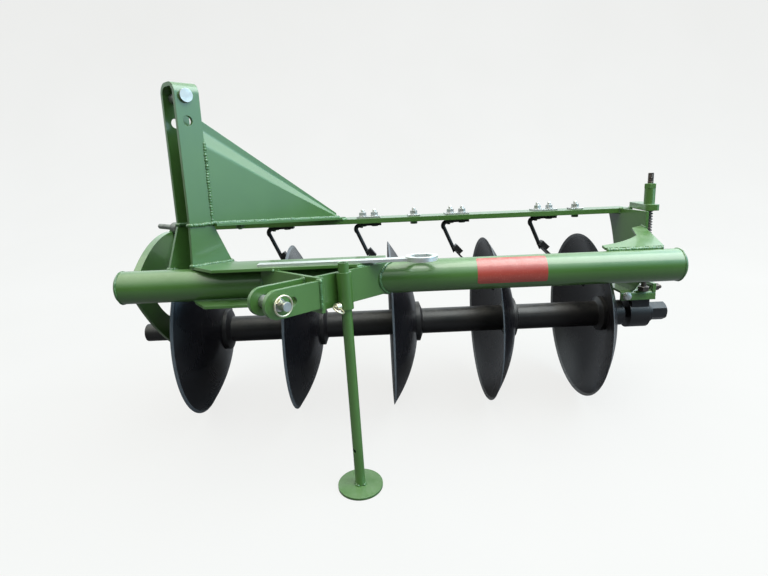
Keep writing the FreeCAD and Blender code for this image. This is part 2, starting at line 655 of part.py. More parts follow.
def right_side_plate():
    """Wall under the beam's right end, with a tongue to the tube and the hood at its foot."""
    foot_z = BEARING_HEIGHT + HOOD_THICKNESS
    tongue_y = TUBE_Y + TUBE_RADIUS * PLATE_ROOT_SHARE
    tongue_low_z = TUBE_Z - WALL_TONGUE_LOW
    tongue_low = Vector(0, WALL_FRONT_Y, tongue_low_z - WALL_TONGUE_SAG)
    tongue_heel = Vector(0, tongue_y, tongue_low_z + WALL_TONGUE_HEEL)
    tongue_top = Vector(0, tongue_y, TUBE_Z + WALL_TONGUE_TOP)
    wall_front = Vector(0, WALL_FRONT_Y, tongue_top.z + WALL_TONGUE_RISE)
    wall_top = Vector(0, WALL_FRONT_Y, BEAM_TOP_Z)
    beam_top = Vector(0, BEAM_FRONT_Y, BEAM_TOP_Z)
    beam_low = Vector(0, BEAM_FRONT_Y, BEAM_BOTTOM_Z)
    rear_top = Vector(0, PLATE_REAR_Y, BEAM_BOTTOM_Z)
    waist = Vector(0, PLATE_WAIST_Y, PLATE_WAIST_Z)
    foot_rear = Vector(0, WALL_FOOT_REAR_Y, foot_z)
    foot_front = Vector(0, -BEARING_BASE_HALF_WIDTH, foot_z)
    edges = [line(wall_front, wall_top), line(wall_top, beam_top), line(beam_top, beam_low),
             line(beam_low, rear_top), arc_through(rear_top, waist, foot_rear),
             line(foot_rear, foot_front), arc_through(foot_front, tongue_low, tongue_heel),
             line(tongue_heel, tongue_top), line(tongue_top, wall_front)]
    plate = Part.Face(Part.Wire(edges)).extrude(X_AXIS * SIDE_PLATE_THICKNESS)
    plate.translate(Vector(RIGHT_PLATE_FACE_X, 0, 0))
    return plate.cut(tube_seat())


def corner_gusset():
    """Forked plate that rises from the tube's top to the wall's front edge."""
    z = TUBE_TOP_Z
    wall_x = RIGHT_PLATE_FACE_X
    front_y = TUBE_Y + CORNER_FRONT
    tongue_x = wall_x - CORNER_TONGUE
    tongue_y = WALL_FRONT_Y + CORNER_TONGUE_LAP
    left_tip = Vector(wall_x - CORNER_REACH, front_y, z)
    right_tip = Vector(wall_x - CORNER_INSET, front_y, z)
    corner = Vector(wall_x, WALL_FRONT_Y, z)
    top = Vector(wall_x, WALL_FRONT_Y + CORNER_LAP, z)
    tongue = Vector(tongue_x, tongue_y, z)
    crotch = Vector(tongue_x - CORNER_CROTCH_X, tongue_y - CORNER_CROTCH_Y, z)
    left_rear = left_tip + Vector(0, CORNER_TIP_WIDTH, 0)
    hollow = (crotch + left_rear) / 2 + Vector(CORNER_HOLLOW_X, -CORNER_HOLLOW_Y, 0)
    edges = [line(right_tip, corner), line(corner, top), line(top, tongue),
             line(tongue, crotch), arc_through(crotch, hollow, left_rear),
             line(left_rear, left_tip), line(left_tip, right_tip)]
    plate = Part.Face(Part.Wire(edges)).extrude(Z_AXIS * CORNER_THICKNESS)
    plate.rotate(Vector(wall_x, TUBE_Y, z), X_AXIS, CORNER_SLOPE)
    return plate.cut(tube_seat())


def left_bearing():
    """Closed bearing sleeve outside the left side plate."""
    start = LEFT_PLATE_FACE_X - SIDE_PLATE_THICKNESS
    end = start - LEFT_BEARING_LENGTH
    body = rod(Vector(start, 0, 0), Vector(end, 0, 0), LEFT_BEARING_RADIUS)
    rim = [edge for edge in body.Edges if edge.BoundBox.XMax < end + SAME_PLACE]
    body = body.makeFillet(LEFT_BEARING_ROUND, rim)
    bore = rod(Vector(start, 0, 0), Vector(end + LEFT_BEARING_END, 0, 0),
               SHAFT_RADIUS + RUNNING_GAP)
    return body.cut(bore)


def right_bearing():
    """Bearing block that hangs under the hood beside the right side plate."""
    start = RIGHT_PLATE_FACE_X + SIDE_PLATE_THICKNESS
    end = start + RIGHT_BEARING_LENGTH
    body = rod(Vector(start, 0, 0), Vector(end, 0, 0), RIGHT_BEARING_RADIUS)
    base_z = BEARING_HEIGHT - BEARING_BASE_THICKNESS
    neck = box(start + BEARING_NECK_INSET, end - BEARING_NECK_INSET,
               -BEARING_NECK_HALF_WIDTH, BEARING_NECK_HALF_WIDTH, 0, base_z)
    front = -BEARING_BASE_HALF_WIDTH + HOOD_THICKNESS + HOOD_BEND_RADIUS
    base = box(start, end, front, BEARING_BASE_HALF_WIDTH, base_z, BEARING_HEIGHT)
    bore = rod(Vector(start, 0, 0), Vector(end, 0, 0), SHAFT_RADIUS + RUNNING_GAP)
    return body.fuse([neck, base]).removeSplitter().cut(bore)


def bearing_hood():
    """Hood that the bearing block is bolted under: top sheet, rounded front fold, end cheek."""
    front = -BEARING_BASE_HALF_WIDTH
    rear = WALL_FOOT_REAR_Y
    low = BEARING_HEIGHT - HOOD_FRONT_DEPTH
    high = BEARING_HEIGHT + HOOD_THICKNESS
    inner_front = front + HOOD_THICKNESS
    outer = [Vector(HOOD_LEFT_X, front, low), Vector(HOOD_LEFT_X, front, high),
             Vector(HOOD_LEFT_X, rear, high)]
    inner = [Vector(HOOD_LEFT_X, rear, BEARING_HEIGHT),
             Vector(HOOD_LEFT_X, inner_front, BEARING_HEIGHT),
             Vector(HOOD_LEFT_X, inner_front, low)]
    edges = rounded_path(outer, [HOOD_BEND_RADIUS + HOOD_THICKNESS])
    edges.append(line(outer[-1], inner[0]))
    edges += rounded_path(inner, [HOOD_BEND_RADIUS])
    edges.append(line(inner[-1], outer[0]))
    sheet = Part.Face(Part.Wire(edges)).extrude(X_AXIS * (HOOD_RIGHT_X - HOOD_LEFT_X))
    cheek = box(HOOD_RIGHT_X - HOOD_CHEEK_THICKNESS, HOOD_RIGHT_X, front, rear,
                BEARING_HEIGHT, high + HOOD_CHEEK_DEPTH)
    return sheet.fuse(cheek).removeSplitter()


# ---- hitch ----
def mast():
    """Hoop of flat bar, bent over at the top, with the top-link holes through both legs."""
    outer = hoop_outline(0.0)
    inner = hoop_outline(MAST_BAR_THICKNESS)
    hoop = outer.cut(inner)
    for z in (TOP_PIN_Z, SPARE_HOLE_Z):
        hoop = hoop.cut(rod(Vector(mast_hole_t(), MAST_LEFT_U - CUTTER_OVERRUN, z),
                            Vector(mast_hole_t(), MAST_RIGHT_U + CUTTER_OVERRUN, z),
                            TOP_PIN_RADIUS + PIN_FIT))
    return in_hitch(hoop)


def mast_hole_t():
    """Top-link holes lie a little ahead of the middle of the bar."""
    return MAST_FRONT_T - TOP_HOLE_SETBACK


def hoop_outline(inset):
    """Solid inside the hoop's outer face, or inside a face set in from it."""
    left = MAST_LEFT_U + inset
    right = MAST_RIGHT_U - inset
    top = MAST_TOP_Z - inset
    radius = MAST_BEND_RADIUS - inset
    low = MAST_FOOT_TOP_Z - (CUTTER_OVERRUN if inset else 0.0)
    diagonal = radius * (1 - math.sqrt(0.5))
    t = MAST_REAR_T
    a = Vector(t, left, low)
    b = Vector(t, left, top - radius)
    b_mid = Vector(t, left + diagonal, top - diagonal)
    c = Vector(t, left + radius, top)
    d = Vector(t, right - radius, top)
    d_mid = Vector(t, right - diagonal, top - diagonal)
    e = Vector(t, right, top - radius)
    f = Vector(t, right, low)
    edges = [line(a, b), arc_through(b, b_mid, c), line(c, d), arc_through(d, d_mid, e),
             line(e, f), line(f, a)]
    return Part.Face(Part.Wire(edges)).extrude(X_AXIS * MAST_BAR_WIDTH)


def mast_foot(outer_u, side, base_z, front_spread, rear_spread):
    """Flared foot plate under one leg of the mast; side is +1 right, -1 left."""
    u = outer_u - side * MAST_BAR_THICKNESS
    points = [Vector(MAST_FRONT_T, u, MAST_FOOT_TOP_Z), Vector(MAST_REAR_T, u, MAST_FOOT_TOP_Z),
              Vector(MAST_REAR_T - rear_spread, u, base_z),
              Vector(MAST_FRONT_T + front_spread, u, base_z)]
    return in_hitch(prism(points, Y_AXIS * side * MAST_BAR_THICKNESS))


def gusset_strip():
    """Flat strip from the mast's foot down on to the rear beam."""
    half = GUSSET_STRIP_WIDTH / 2
    u = gusset_u() - half
    step = GUSSET_STRIP_THICKNESS
    high = MAST_FOOT_TOP_Z - step + STRIP_ABOVE_FOOT
    points = [Vector(MAST_REAR_T, u, high), Vector(strip_knee_t(), u, BEAM_TOP_Z),
              Vector(strip_end_t(), u, BEAM_TOP_Z), Vector(strip_end_t(), u, BEAM_TOP_Z + step),
              Vector(strip_knee_t(), u, BEAM_TOP_Z + step), Vector(MAST_REAR_T, u, high + step)]
    return in_hitch(prism(points, Y_AXIS * GUSSET_STRIP_WIDTH))


def gusset_u():
    """The gusset stands in the middle of the right leg's thickness."""
    return MAST_RIGHT_U - MAST_BAR_THICKNESS / 2


def strip_knee_t():
    """Where the strip first lies on the beam, at its front edge."""
    return (HITCH_ORIGIN - BEAM_FRONT_Y) / math.sqrt(0.5) - gusset_u() - GUSSET_STRIP_WIDTH / 2


def strip_end_t():
    """The strip laps over the beam's front edge and ends there."""
    return strip_knee_t() - STRIP_LAP


def toe_t():
    """The gusset's toe stands on the strip, a little behind its knee."""
    return strip_knee_t() - TOE_BEHIND_KNEE


def joggle_section(t, start_z, height, depth, rim):
    """Closed section of the gusset's free edge across t: up, stepped aside, up again."""
    half = GUSSET_THICKNESS / 2
    u = gusset_u()
    slant = math.atan2(height, depth)
    mitre = half * math.tan((math.pi / 2 - slant) / 2)
    root_z = start_z - JOGGLE_ROOT
    outer = [Vector(t, u + half, root_z), Vector(t, u + half, start_z + mitre),
             Vector(t, u + half - depth, start_z + height + mitre),
             Vector(t, u + half - depth, start_z + height + rim)]
    inner = [Vector(t, u - half - depth, start_z + height + rim),
             Vector(t, u - half - depth, start_z + height - mitre),
             Vector(t, u - half, start_z - mitre), Vector(t, u - half, root_z)]
    scale = depth / JOGGLE_DEPTH
    wide = JOGGLE_RADIUS * scale + GUSSET_THICKNESS
    tight = JOGGLE_RADIUS * scale
    edges = rounded_path(outer, [wide, tight])
    edges.append(line(outer[-1], inner[0]))
    edges += rounded_path(inner, [wide, tight])
    edges.append(line(inner[-1], outer[0]))
    return Part.Wire(edges)


def mast_gusset():
    """Triangular plate behind the mast; its sloping edge is joggled aside to stiffen it."""
    u = gusset_u() - GUSSET_THICKNESS / 2
    toe = toe_t()
    knee = strip_knee_t()
    base_front = MAST_FOOT_TOP_Z + STRIP_ABOVE_FOOT
    base_rear = BEAM_TOP_Z + GUSSET_STRIP_THICKNESS
    web = prism([Vector(MAST_REAR_T, u, base_front), Vector(knee, u, base_rear),
                 Vector(toe, u, base_rear),
                 Vector(MAST_REAR_T, u, JOGGLE_START_Z - GUSSET_WEB_DROP)],
                Y_AXIS * GUSSET_THICKNESS)
    high = joggle_section(MAST_REAR_T, JOGGLE_START_Z, JOGGLE_HEIGHT, JOGGLE_DEPTH, GUSSET_RIM)
    low = joggle_section(toe, TOE_JOGGLE_START_Z, TOE_JOGGLE_HEIGHT, TOE_JOGGLE_DEPTH, TOE_RIM)
    joggle = Part.makeLoft([high, low], True, True)
    slope = (base_front - base_rear) / (MAST_REAR_T - knee)
    front_t = MAST_REAR_T + CUTTER_OVERRUN
    rear_t = toe - CUTTER_OVERRUN
    strip_underside = prism([Vector(front_t, -FAR, base_front + slope * CUTTER_OVERRUN),
                             Vector(knee, -FAR, base_rear), Vector(rear_t, -FAR, base_rear),
                             Vector(rear_t, -FAR, -FAR), Vector(front_t, -FAR, -FAR)],
                            Y_AXIS * 2 * FAR)
    return in_hitch(web.fuse(joggle).cut(strip_underside).removeSplitter())


def hitch_plate():
    """Flat plate on top of the tube that ties the mast's foot to the lower bracket."""
    z = TUBE_TOP_Z
    foot_inner_u = MAST_RIGHT_U - MAST_BAR_THICKNESS
    front = hitch_point(MAST_FRONT_T + MAST_FOOT_FRONT_SPREAD, MAST_RIGHT_U)
    front_inner = hitch_point(MAST_FRONT_T + MAST_FOOT_FRONT_SPREAD, foot_inner_u)
    rear = hitch_point(MAST_REAR_T - MAST_FOOT_SPREAD, MAST_RIGHT_U)
    rear_inner = hitch_point(MAST_REAR_T - MAST_FOOT_SPREAD, foot_inner_u)
    wall_u = BRACKET_OUTER_U - BRACKET_THICKNESS
    wall_x = wall_u / math.sqrt(0.5)
    notch_y = TUBE_Y - HITCH_PLATE_NOTCH
    points = [Vector(front_inner.x, front_inner.y, z), Vector(front.x, front.y, z),
              Vector(front.x + front.y - HITCH_PLATE_FRONT_Y, HITCH_PLATE_FRONT_Y, z),
              Vector(wall_x + HITCH_PLATE_FRONT_Y, HITCH_PLATE_FRONT_Y, z),
              Vector(wall_x + notch_y, notch_y, z),
              Vector(wall_x + notch_y, HITCH_PLATE_REAR_Y, z),
              Vector(rear.x + rear.y - HITCH_PLATE_REAR_Y, HITCH_PLATE_REAR_Y, z),
              Vector(rear.x, rear.y, z), Vector(rear_inner.x, rear_inner.y, z)]
    return prism(points, Z_AXIS * HITCH_PLATE_THICKNESS)


def hitch_bracket():
    """Bent plate in front of the tube: one wall across the pull, one wall along it."""
    back = BRACKET_FRONT_T - BRACKET_THICKNESS
    clevis_right = CLEVIS_CENTRE_U + CLEVIS_GAP / 2 + CLEVIS_THICKNESS
    across = box(back, BRACKET_FRONT_T, BRACKET_LEFT_U, clevis_right,
                 BRACKET_BOTTOM_Z, TUBE_TOP_Z)
    along = box(BRACKET_REAR_T, back, BRACKET_OUTER_U - BRACKET_THICKNESS, BRACKET_OUTER_U,
                BRACKET_BOTTOM_Z, TUBE_TOP_Z)
    bracket = in_hitch(across.fuse(along).removeSplitter())
    behind_tube = box(-FAR, FAR, TUBE_Y, FAR, -FAR, FAR)
    return bracket.cut(tube_seat()).cut(behind_tube)


def hitch_under_plate():
    """Plate welded under the tube, below the lower bracket; its left corner is cut and rounded."""
    z = BRACKET_BOTTOM_Z - HITCH_PLATE_THICKNESS
    front_y = TUBE_Y - TUBE_RADIUS - UNDER_PLATE_FRONT
    rear_y = TUBE_Y + UNDER_PLATE_LAP
    right_x = UNDER_PLATE_LEFT_X + UNDER_PLATE_WIDTH
    slant_start = Vector(UNDER_PLATE_LEFT_X, TUBE_Y - UNDER_PLATE_SIDE, z)
    slant_end = Vector(UNDER_PLATE_LEFT_X + UNDER_PLATE_SLANT, front_y, z)
    points = [Vector(UNDER_PLATE_LEFT_X, rear_y, z), slant_start, slant_end,
              Vector(right_x, front_y, z), Vector(right_x, rear_y, z)]
    plate = prism(points, Z_AXIS * HITCH_PLATE_THICKNESS)
    corner = [edge for edge in plate.Edges
              if all(math.hypot(vertex.X - slant_end.x, vertex.Y - front_y) < SAME_PLACE
                     for vertex in edge.Vertexes)]
    return plate.makeFillet(UNDER_PLATE_CORNER, corner).cut(tube_seat())


def clevis_ear(u_low):
    """Ear of the lower-link clevis, round at its free end, with two pin holes."""
    start = BRACKET_FRONT_T
    radius = CLEVIS_HEIGHT / 2
    centre_t = start + CLEVIS_REACH - radius
    z = clevis_z()
    low = z - radius
    plate = box(start, centre_t, u_low, u_low + CLEVIS_THICKNESS, low, z + radius)
    tip = rod(Vector(centre_t, u_low, z), Vector(centre_t, u_low + CLEVIS_THICKNESS, z), radius)
    ear = plate.fuse(tip).removeSplitter()
    for setback, hole in ((LINK_PIN_SETBACK, LINK_PIN_RADIUS),
                          (SPARE_HOLE_SETBACK, LINK_PIN_RADIUS - SPARE_HOLE_SHRINK)):
        t = start + CLEVIS_REACH - setback
        ear = ear.cut(rod(Vector(t, u_low - CUTTER_OVERRUN, z),
                          Vector(t, u_low + CUTTER_OVERRUN, z), hole + PIN_FIT))
    return in_hitch(ear)


def clevis_z():
    """Height of the lower-link pin."""
    return TUBE_TOP_Z - CLEVIS_DROP - CLEVIS_HEIGHT / 2


def drilled_pin(pin_start, pin_end, radius, head, lynch_at, lynch_side):
    """Pin with a head at its start and a cross hole for the lynch pin near its end."""
    axis = (pin_end - pin_start).normalize()
    body = rod(pin_start, pin_end, radius)
    if head:
        body = body.fuse(rod(pin_start - axis * PIN_HEAD_THICKNESS, pin_start, head))
        body = body.removeSplitter()
    cross_low = lynch_at - lynch_side * (radius + LYNCH_TAIL)
    cross_high = lynch_at + lynch_side * (radius + LYNCH_TAIL)
    return body.cut(rod(cross_low, cross_high, LYNCH_PIN_RADIUS + PIN_FIT))


def lynch_pin(lynch_at, lynch_side, radius, normal):
    """Lynch pin: a short cross pin with a collar, and its wire ring snapped round the pin."""
    low = lynch_at - lynch_side * (radius + LYNCH_TAIL)
    high = lynch_at + lynch_side * (radius + LYNCH_HEAD)
    collar_low = lynch_at + lynch_side * (radius + LYNCH_COLLAR_GAP)
    stem = rod(low, high, LYNCH_PIN_RADIUS)
    collar = rod(collar_low, high, LYNCH_PIN_RADIUS + LYNCH_COLLAR_RIM)
    hoop = Part.makeTorus(LYNCH_RING_RADIUS, LYNCH_WIRE_RADIUS, lynch_at, normal)
    return stem.fuse([collar, hoop]).removeSplitter()


def link_pin_parts():
    """Right lower-link pin, turned down at its free end, with its lynch pin."""
    parts = {}
    t = BRACKET_FRONT_T + CLEVIS_REACH - LINK_PIN_SETBACK
    z = clevis_z()
    half = CLEVIS_GAP / 2 + CLEVIS_THICKNESS
    head_face = Vector(t, CLEVIS_CENTRE_U - half - RUNNING_GAP, z)
    shoulder = Vector(t, CLEVIS_CENTRE_U + half + LINK_PIN_SHOULDER, z)
    end = Vector(t, CLEVIS_CENTRE_U + half + LINK_PIN_STUB_END, z)
    lynch_at = Vector(t, CLEVIS_CENTRE_U + half + LINK_PIN_CROSS_HOLE, z)
    tilt = Vector(1, 0, 1).normalize()
    stub = drilled_pin(shoulder - Y_AXIS, end, LINK_PIN_STUB_RADIUS, 0, lynch_at, tilt)
    head = rod(head_face - Y_AXIS * PIN_HEAD_THICKNESS, head_face, LINK_PIN_HEAD_RADIUS)
    body = rod(head_face, shoulder, LINK_PIN_RADIUS)
    parts["right_link_pin"] = in_hitch(body.fuse([head, stub]).removeSplitter())
    parts["right_lynch_pin"] = in_hitch(lynch_pin(lynch_at, tilt, LINK_PIN_STUB_RADIUS, Y_AXIS))
    return parts


def top_link_pin():
    """Headed top-link pin through both legs of the mast, with a short end for its clip."""
    t = mast_hole_t()
    head_face = Vector(t, MAST_RIGHT_U + RUNNING_GAP, TOP_PIN_Z)
    end = Vector(t, MAST_LEFT_U - TOP_PIN_END, TOP_PIN_Z)
    lynch_at = Vector(t, MAST_LEFT_U - TOP_PIN_CROSS_HOLE, TOP_PIN_Z)
    return in_hitch(drilled_pin(head_face, end, TOP_PIN_RADIUS, TOP_PIN_HEAD_RADIUS,
                                lynch_at, Z_AXIS))


def left_pin_hole():
    """Hole for the slim pin in the mast's left foot."""
    start = Vector(LEFT_PIN_T, MAST_LEFT_U - CUTTER_OVERRUN, LEFT_PIN_Z)
    end = Vector(LEFT_PIN_T, MAST_LEFT_U + CUTTER_OVERRUN, LEFT_PIN_Z)
    return in_hitch(rod(start, end, LEFT_PIN_RADIUS + PIN_FIT))


def left_link_pin():
    """Slim pin through the mast's left foot, with a collar that stops what is slid on it."""
    inner_u = MAST_LEFT_U + MAST_BAR_THICKNESS + LEFT_PIN_INNER_END
    start = Vector(LEFT_PIN_T, inner_u, LEFT_PIN_Z)
    end = Vector(LEFT_PIN_T, MAST_LEFT_U - LEFT_PIN_LENGTH, LEFT_PIN_Z)
    collar_start = Vector(LEFT_PIN_T, MAST_LEFT_U - LEFT_PIN_COLLAR_START, LEFT_PIN_Z)
    collar_end = Vector(LEFT_PIN_T, MAST_LEFT_U - LEFT_PIN_COLLAR_END, LEFT_PIN_Z)
    pin = rod(start, end, LEFT_PIN_RADIUS)
    tip = [edge for edge in pin.Edges if edge.BoundBox.YMax < end.y + SAME_PLACE]
    pin = pin.makeChamfer(LEFT_PIN_CHAMFER, tip)
    collar = rod(collar_start, collar_end, LEFT_PIN_COLLAR_RADIUS)
    rims = [edge for edge in collar.Edges if edge.BoundBox.YLength < SAME_PLACE]
    collar = collar.makeFillet(LEFT_PIN_COLLAR_ROUND, rims)
    return in_hitch(pin.fuse(collar).removeSplitter())


# ---- stand ----
def stand_point(z):
    """Point on the stand leg's axis, which leans a little towards the plough's right."""
    point = hitch_point(STAND_T, STAND_U + WELD_GAP)
    lean = (STAND_SLEEVE_TOP_Z - z) * math.tan(math.radians(STAND_LEAN))
    return Vector(point.x + lean, point.y, z)


def stand_floor_z():
    """Height of the floor under the stand when the plough is parked at its angle."""
    turn = math.radians(PARK_ANGLE)
    return (-DISC_RADIUS + stand_point(0).y * math.sin(turn)) / math.cos(turn)


def stand_sleeve():
    """Sleeve welded outside the hitch bracket; the leg slides in it and a pin locks it."""
    low = STAND_SLEEVE_TOP_Z - STAND_SLEEVE_HEIGHT
    sleeve = ring(stand_point(low), stand_point(STAND_SLEEVE_TOP_Z), STAND_SLEEVE_RADIUS,
                  STAND_LEG_RADIUS + RUNNING_GAP)
    return sleeve.cut(stand_cross_hole(STAND_PIN_Z, STAND_SLEEVE_RADIUS + CUTTER_LIP))


def stand_cross_hole(z, reach):
    """Hole across the sleeve or the leg along the pull."""
    centre = stand_point(z)
    side = hitch_direction(1, 0)
    return rod(centre - side * reach, centre + side * reach, STAND_PIN_RADIUS + PIN_FIT)


def stand_lock_pin():
    """Lynch pin in the sleeve's wall, drawn back so that the leg is free, with its ring."""
    centre = stand_point(STAND_PIN_Z)
    side = hitch_direction(1, 0)
    away = hitch_direction(0, 1)
    reach = STAND_SLEEVE_RADIUS
    stem = rod(centre + side * (STAND_LEG_RADIUS + RUNNING_GAP + STAND_PIN_DRAWN),
               centre + side * (reach + STAND_PIN_REACH), STAND_PIN_RADIUS)
    collar = rod(centre + side * (reach + STAND_PIN_COLLAR_START),
                 centre + side * (reach + STAND_PIN_COLLAR_END),
                 STAND_PIN_RADIUS + STAND_PIN_COLLAR_RIM)
    normal = Z_AXIS * STAND_RING_STEEPNESS - side * STAND_RING_LEAN + away * STAND_RING_TURN
    ring_centre = centre + side * (reach + STAND_PIN_COLLAR_END)
    ring_centre += away * (STAND_RING_RADIUS - STAND_RING_TUCK) - Z_AXIS * STAND_RING_DROP
    hoop = Part.makeTorus(STAND_RING_RADIUS, LYNCH_WIRE_RADIUS, ring_centre, normal.normalize())
    return stem.fuse([collar, hoop]).removeSplitter()


def stand_leg():
    """Tube that slides in the sleeve, with its lower locking hole."""
    foot_top = stand_floor_z() + STAND_FOOT_THICKNESS
    leg = ring(stand_point(foot_top), stand_point(STAND_LEG_TOP_Z), STAND_LEG_RADIUS,
               STAND_LEG_RADIUS - STAND_LEG_WALL)
    for z in (STAND_PIN_Z, STAND_LOWER_HOLE_Z):
        leg = leg.cut(stand_cross_hole(z, STAND_LEG_RADIUS + CUTTER_LIP))
    return leg.cut(stand_foot())


def stand_foot():
    """Round foot plate, welded on so that it lies flat on the floor when parked."""
    base = stand_point(stand_floor_z())
    foot = Part.makeCylinder(STAND_FOOT_RADIUS, STAND_FOOT_THICKNESS, base)
    foot.rotate(base, X_AXIS, PARK_ANGLE)
    return foot


# ---- scrapers ----
def scraper_top_x(index):
    """X where a scraper's rod turns down from under the beam."""
    last_x = LAST_DISC_X - SCRAPER_LAST_BEHIND
    return last_x - SCRAPER_PITCH * (DISC_COUNT - 1 - index)


def scraper_rod_z():
    """Height of the rod's axis where it turns in under the beam, level with its lug's underside."""
    return BEAM_BOTTOM_Z - PAD_THICKNESS - LUG_THICKNESS - WELD_GAP


def scraper(index):
    """Bent rod with its flat lug, its block and the blade that reaches into a disc's hollow."""
    bar, foot = scraper_bar(index)
    side = Y_AXIS * (SCRAPER_BLADE_WIDTH / 2)
    block_side = Y_AXIS * (SCRAPER_BLOCK_WIDTH / 2)
    tip = scraper_tip(index)
    reach = (tip - foot).normalize()
    across = Vector(-reach.z, 0, reach.x)
    tip_side = side * SCRAPER_TIP_SHARE
    blade = prism([foot - side, tip - tip_side, tip + tip_side, foot + side],
                  across * SCRAPER_BLADE_THICKNESS)
    back = foot - reach * SCRAPER_BLOCK_BACK
    front = foot + reach * SCRAPER_BLOCK_FRONT
    block = prism([back - block_side, front - block_side, front + block_side,
                   back + block_side], across * SCRAPER_BLOCK_DEPTH)
    return bar.fuse([scraper_lug(index), blade, block]).removeSplitter()


def scraper_bar(index):
    """Round bar bent down from under the beam; returned with the point where it ends."""
    z = scraper_rod_z()
    corner = Vector(scraper_top_x(index), SCRAPER_Y, z)
    start = corner + X_AXIS * (SCRAPER_BEND + SCRAPER_ROD_LAP)
    foot = Vector(corner.x + SCRAPER_BLOCK_STEP_X, SCRAPER_Y, SCRAPER_BLOCK_Z)
    down = (foot - corner).normalize()
    turn_in = corner + X_AXIS * SCRAPER_BEND
    turn_out = corner + down * SCRAPER_BEND
    between = (turn_in + turn_out) / 2
    bend_middle = between + (corner - between) * SCRAPER_BEND_FULLNESS
    path = Part.Wire([line(start, turn_in), arc_through(turn_in, bend_middle, turn_out),
                      line(turn_out, foot)])
    section = Part.Wire(Part.makeCircle(SCRAPER_ROD_RADIUS, start, X_AXIS))
    return path.makePipeShell([section], True, True), foot


def scraper_lug(index):
    """Flat lug on the bar's top end that is bolted up against the pad under the beam."""
    x = scraper_top_x(index)
    half = LUG_WIDTH / 2
    top = BEAM_BOTTOM_Z - PAD_THICKNESS
    return box(x + LUG_START, x + SCRAPER_HOOK_LENGTH, SCRAPER_Y - half, SCRAPER_Y + half,
               top - LUG_THICKNESS, top)


def scraper_tip(index):
    """Middle of the blade's tip, just clear of the disc's hollow face."""
    wall = DISC_THICKNESS * SCRAPER_DISC_SLANT
    face_x = disc_x(index) + dish_face_x(scraper_tip_radius(), DISH_DEPTH) - wall
    return Vector(face_x - SCRAPER_CLEARANCE - SCRAPER_BLADE_THICKNESS, SCRAPER_Y, SCRAPER_TIP_Z)


def scraper_tip_radius():
    """Distance of the blade tip's far corner from the gang axis."""
    far_y = SCRAPER_Y + SCRAPER_BLADE_WIDTH / 2
    return math.sqrt(far_y ** 2 + SCRAPER_TIP_Z ** 2)


def clamp_row(low_z, high_z):
    """One flat plate for each scraper between two heights, over its lug."""
    plates = []
    for index in range(DISC_COUNT):
        x = scraper_top_x(index) + CLAMP_OFFSET_X
        plates.append(box(x - CLAMP_LENGTH / 2, x + CLAMP_LENGTH / 2,
                          SCRAPER_Y - CLAMP_WIDTH / 2, SCRAPER_Y + CLAMP_WIDTH / 2,
                          low_z, high_z))
    return Part.makeCompound(plates)


def clamp_plates():
    """Plates on top of the beam that the scrapers' bolts pull down on."""
    return clamp_row(BEAM_TOP_Z, BEAM_TOP_Z + CLAMP_THICKNESS)


def clamp_pads():
    """Thin pads between the beam's underside and the scrapers' lugs."""
    return clamp_row(BEAM_BOTTOM_Z - PAD_THICKNESS, BEAM_BOTTOM_Z)


# ---- rod and spring at the right-hand end ----
def tail_point(z):
    """Point on the tail rod's axis."""
    return Vector(TAIL_ROD_X, TAIL_ROD_Y, z)


def tail_plate():
    """Bar laid over the wall's top edge and the beam's end, with the tail rod's sleeve and nut."""
    half = TAIL_PLATE_WIDTH / 2
    bar = box(-TAIL_PLATE_FRONT, TAIL_PLATE_REAR, -half, half, 0, TAIL_PLATE_THICKNESS)
    corners = [edge for edge in bar.Edges if edge.BoundBox.XLength < SAME_PLACE
               and edge.BoundBox.YLength < SAME_PLACE]
    bar = bar.makeFillet(TAIL_PLATE_CORNER, corners)
    bar.rotate(Vector(0, 0, 0), Z_AXIS, TAIL_PLATE_TURN)
    bar.translate(tail_point(BEAM_TOP_Z))
    plate_top = BEAM_TOP_Z + TAIL_PLATE_THICKNESS
    sleeve_top = plate_top + TAIL_SLEEVE_LENGTH
    sleeve = rod(tail_point(plate_top), tail_point(sleeve_top), TAIL_SLEEVE_RADIUS)
    nut = hexagon(tail_point(sleeve_top), TAIL_NUT_ACROSS_FLATS, TAIL_NUT_LENGTH, Z_AXIS)
    body = bar.fuse([sleeve, nut]).removeSplitter()
    return body.cut(rod(tail_point(0), tail_point(FAR), TAIL_ROD_RADIUS + PIN_FIT))


def tail_rod():
    """Threaded rod from the tail plate's nut down on to the hood, with the nut at its foot."""
    foot_z = BEARING_HEIGHT + HOOD_THICKNESS
    body = rod(tail_point(foot_z), tail_point(TAIL_ROD_TOP_Z), TAIL_ROD_RADIUS)
    foot = hexagon(tail_point(foot_z), TAIL_NUT_ACROSS_FLATS, TAIL_NUT_LENGTH, Z_AXIS)
    return body.fuse(foot).removeSplitter()


def tail_spring():
    """Coil spring round the tail rod, under the tail plate."""
    pitch = (SPRING_LENGTH - 2 * SPRING_WIRE_RADIUS) / SPRING_TURNS
    low = BEAM_TOP_Z - SPRING_LENGTH + SPRING_WIRE_RADIUS
    helix = Part.makeHelix(pitch, pitch * SPRING_TURNS, SPRING_RADIUS)
    start = Vector(SPRING_RADIUS, 0, 0)
    section = Part.Wire(Part.makeCircle(SPRING_WIRE_RADIUS, start, Y_AXIS))
    coil = Part.Wire(helix).makePipeShell([section], True, True)
    coil.translate(tail_point(low))
    return coil


def spring_seat():
    """Collar on the tail rod that the spring stands on."""
    top = BEAM_TOP_Z - SPRING_LENGTH
    return ring(tail_point(top - SPRING_SEAT_THICKNESS), tail_point(top),
                SPRING_RADIUS + SPRING_SEAT_RIM, TAIL_ROD_RADIUS + PIN_FIT)


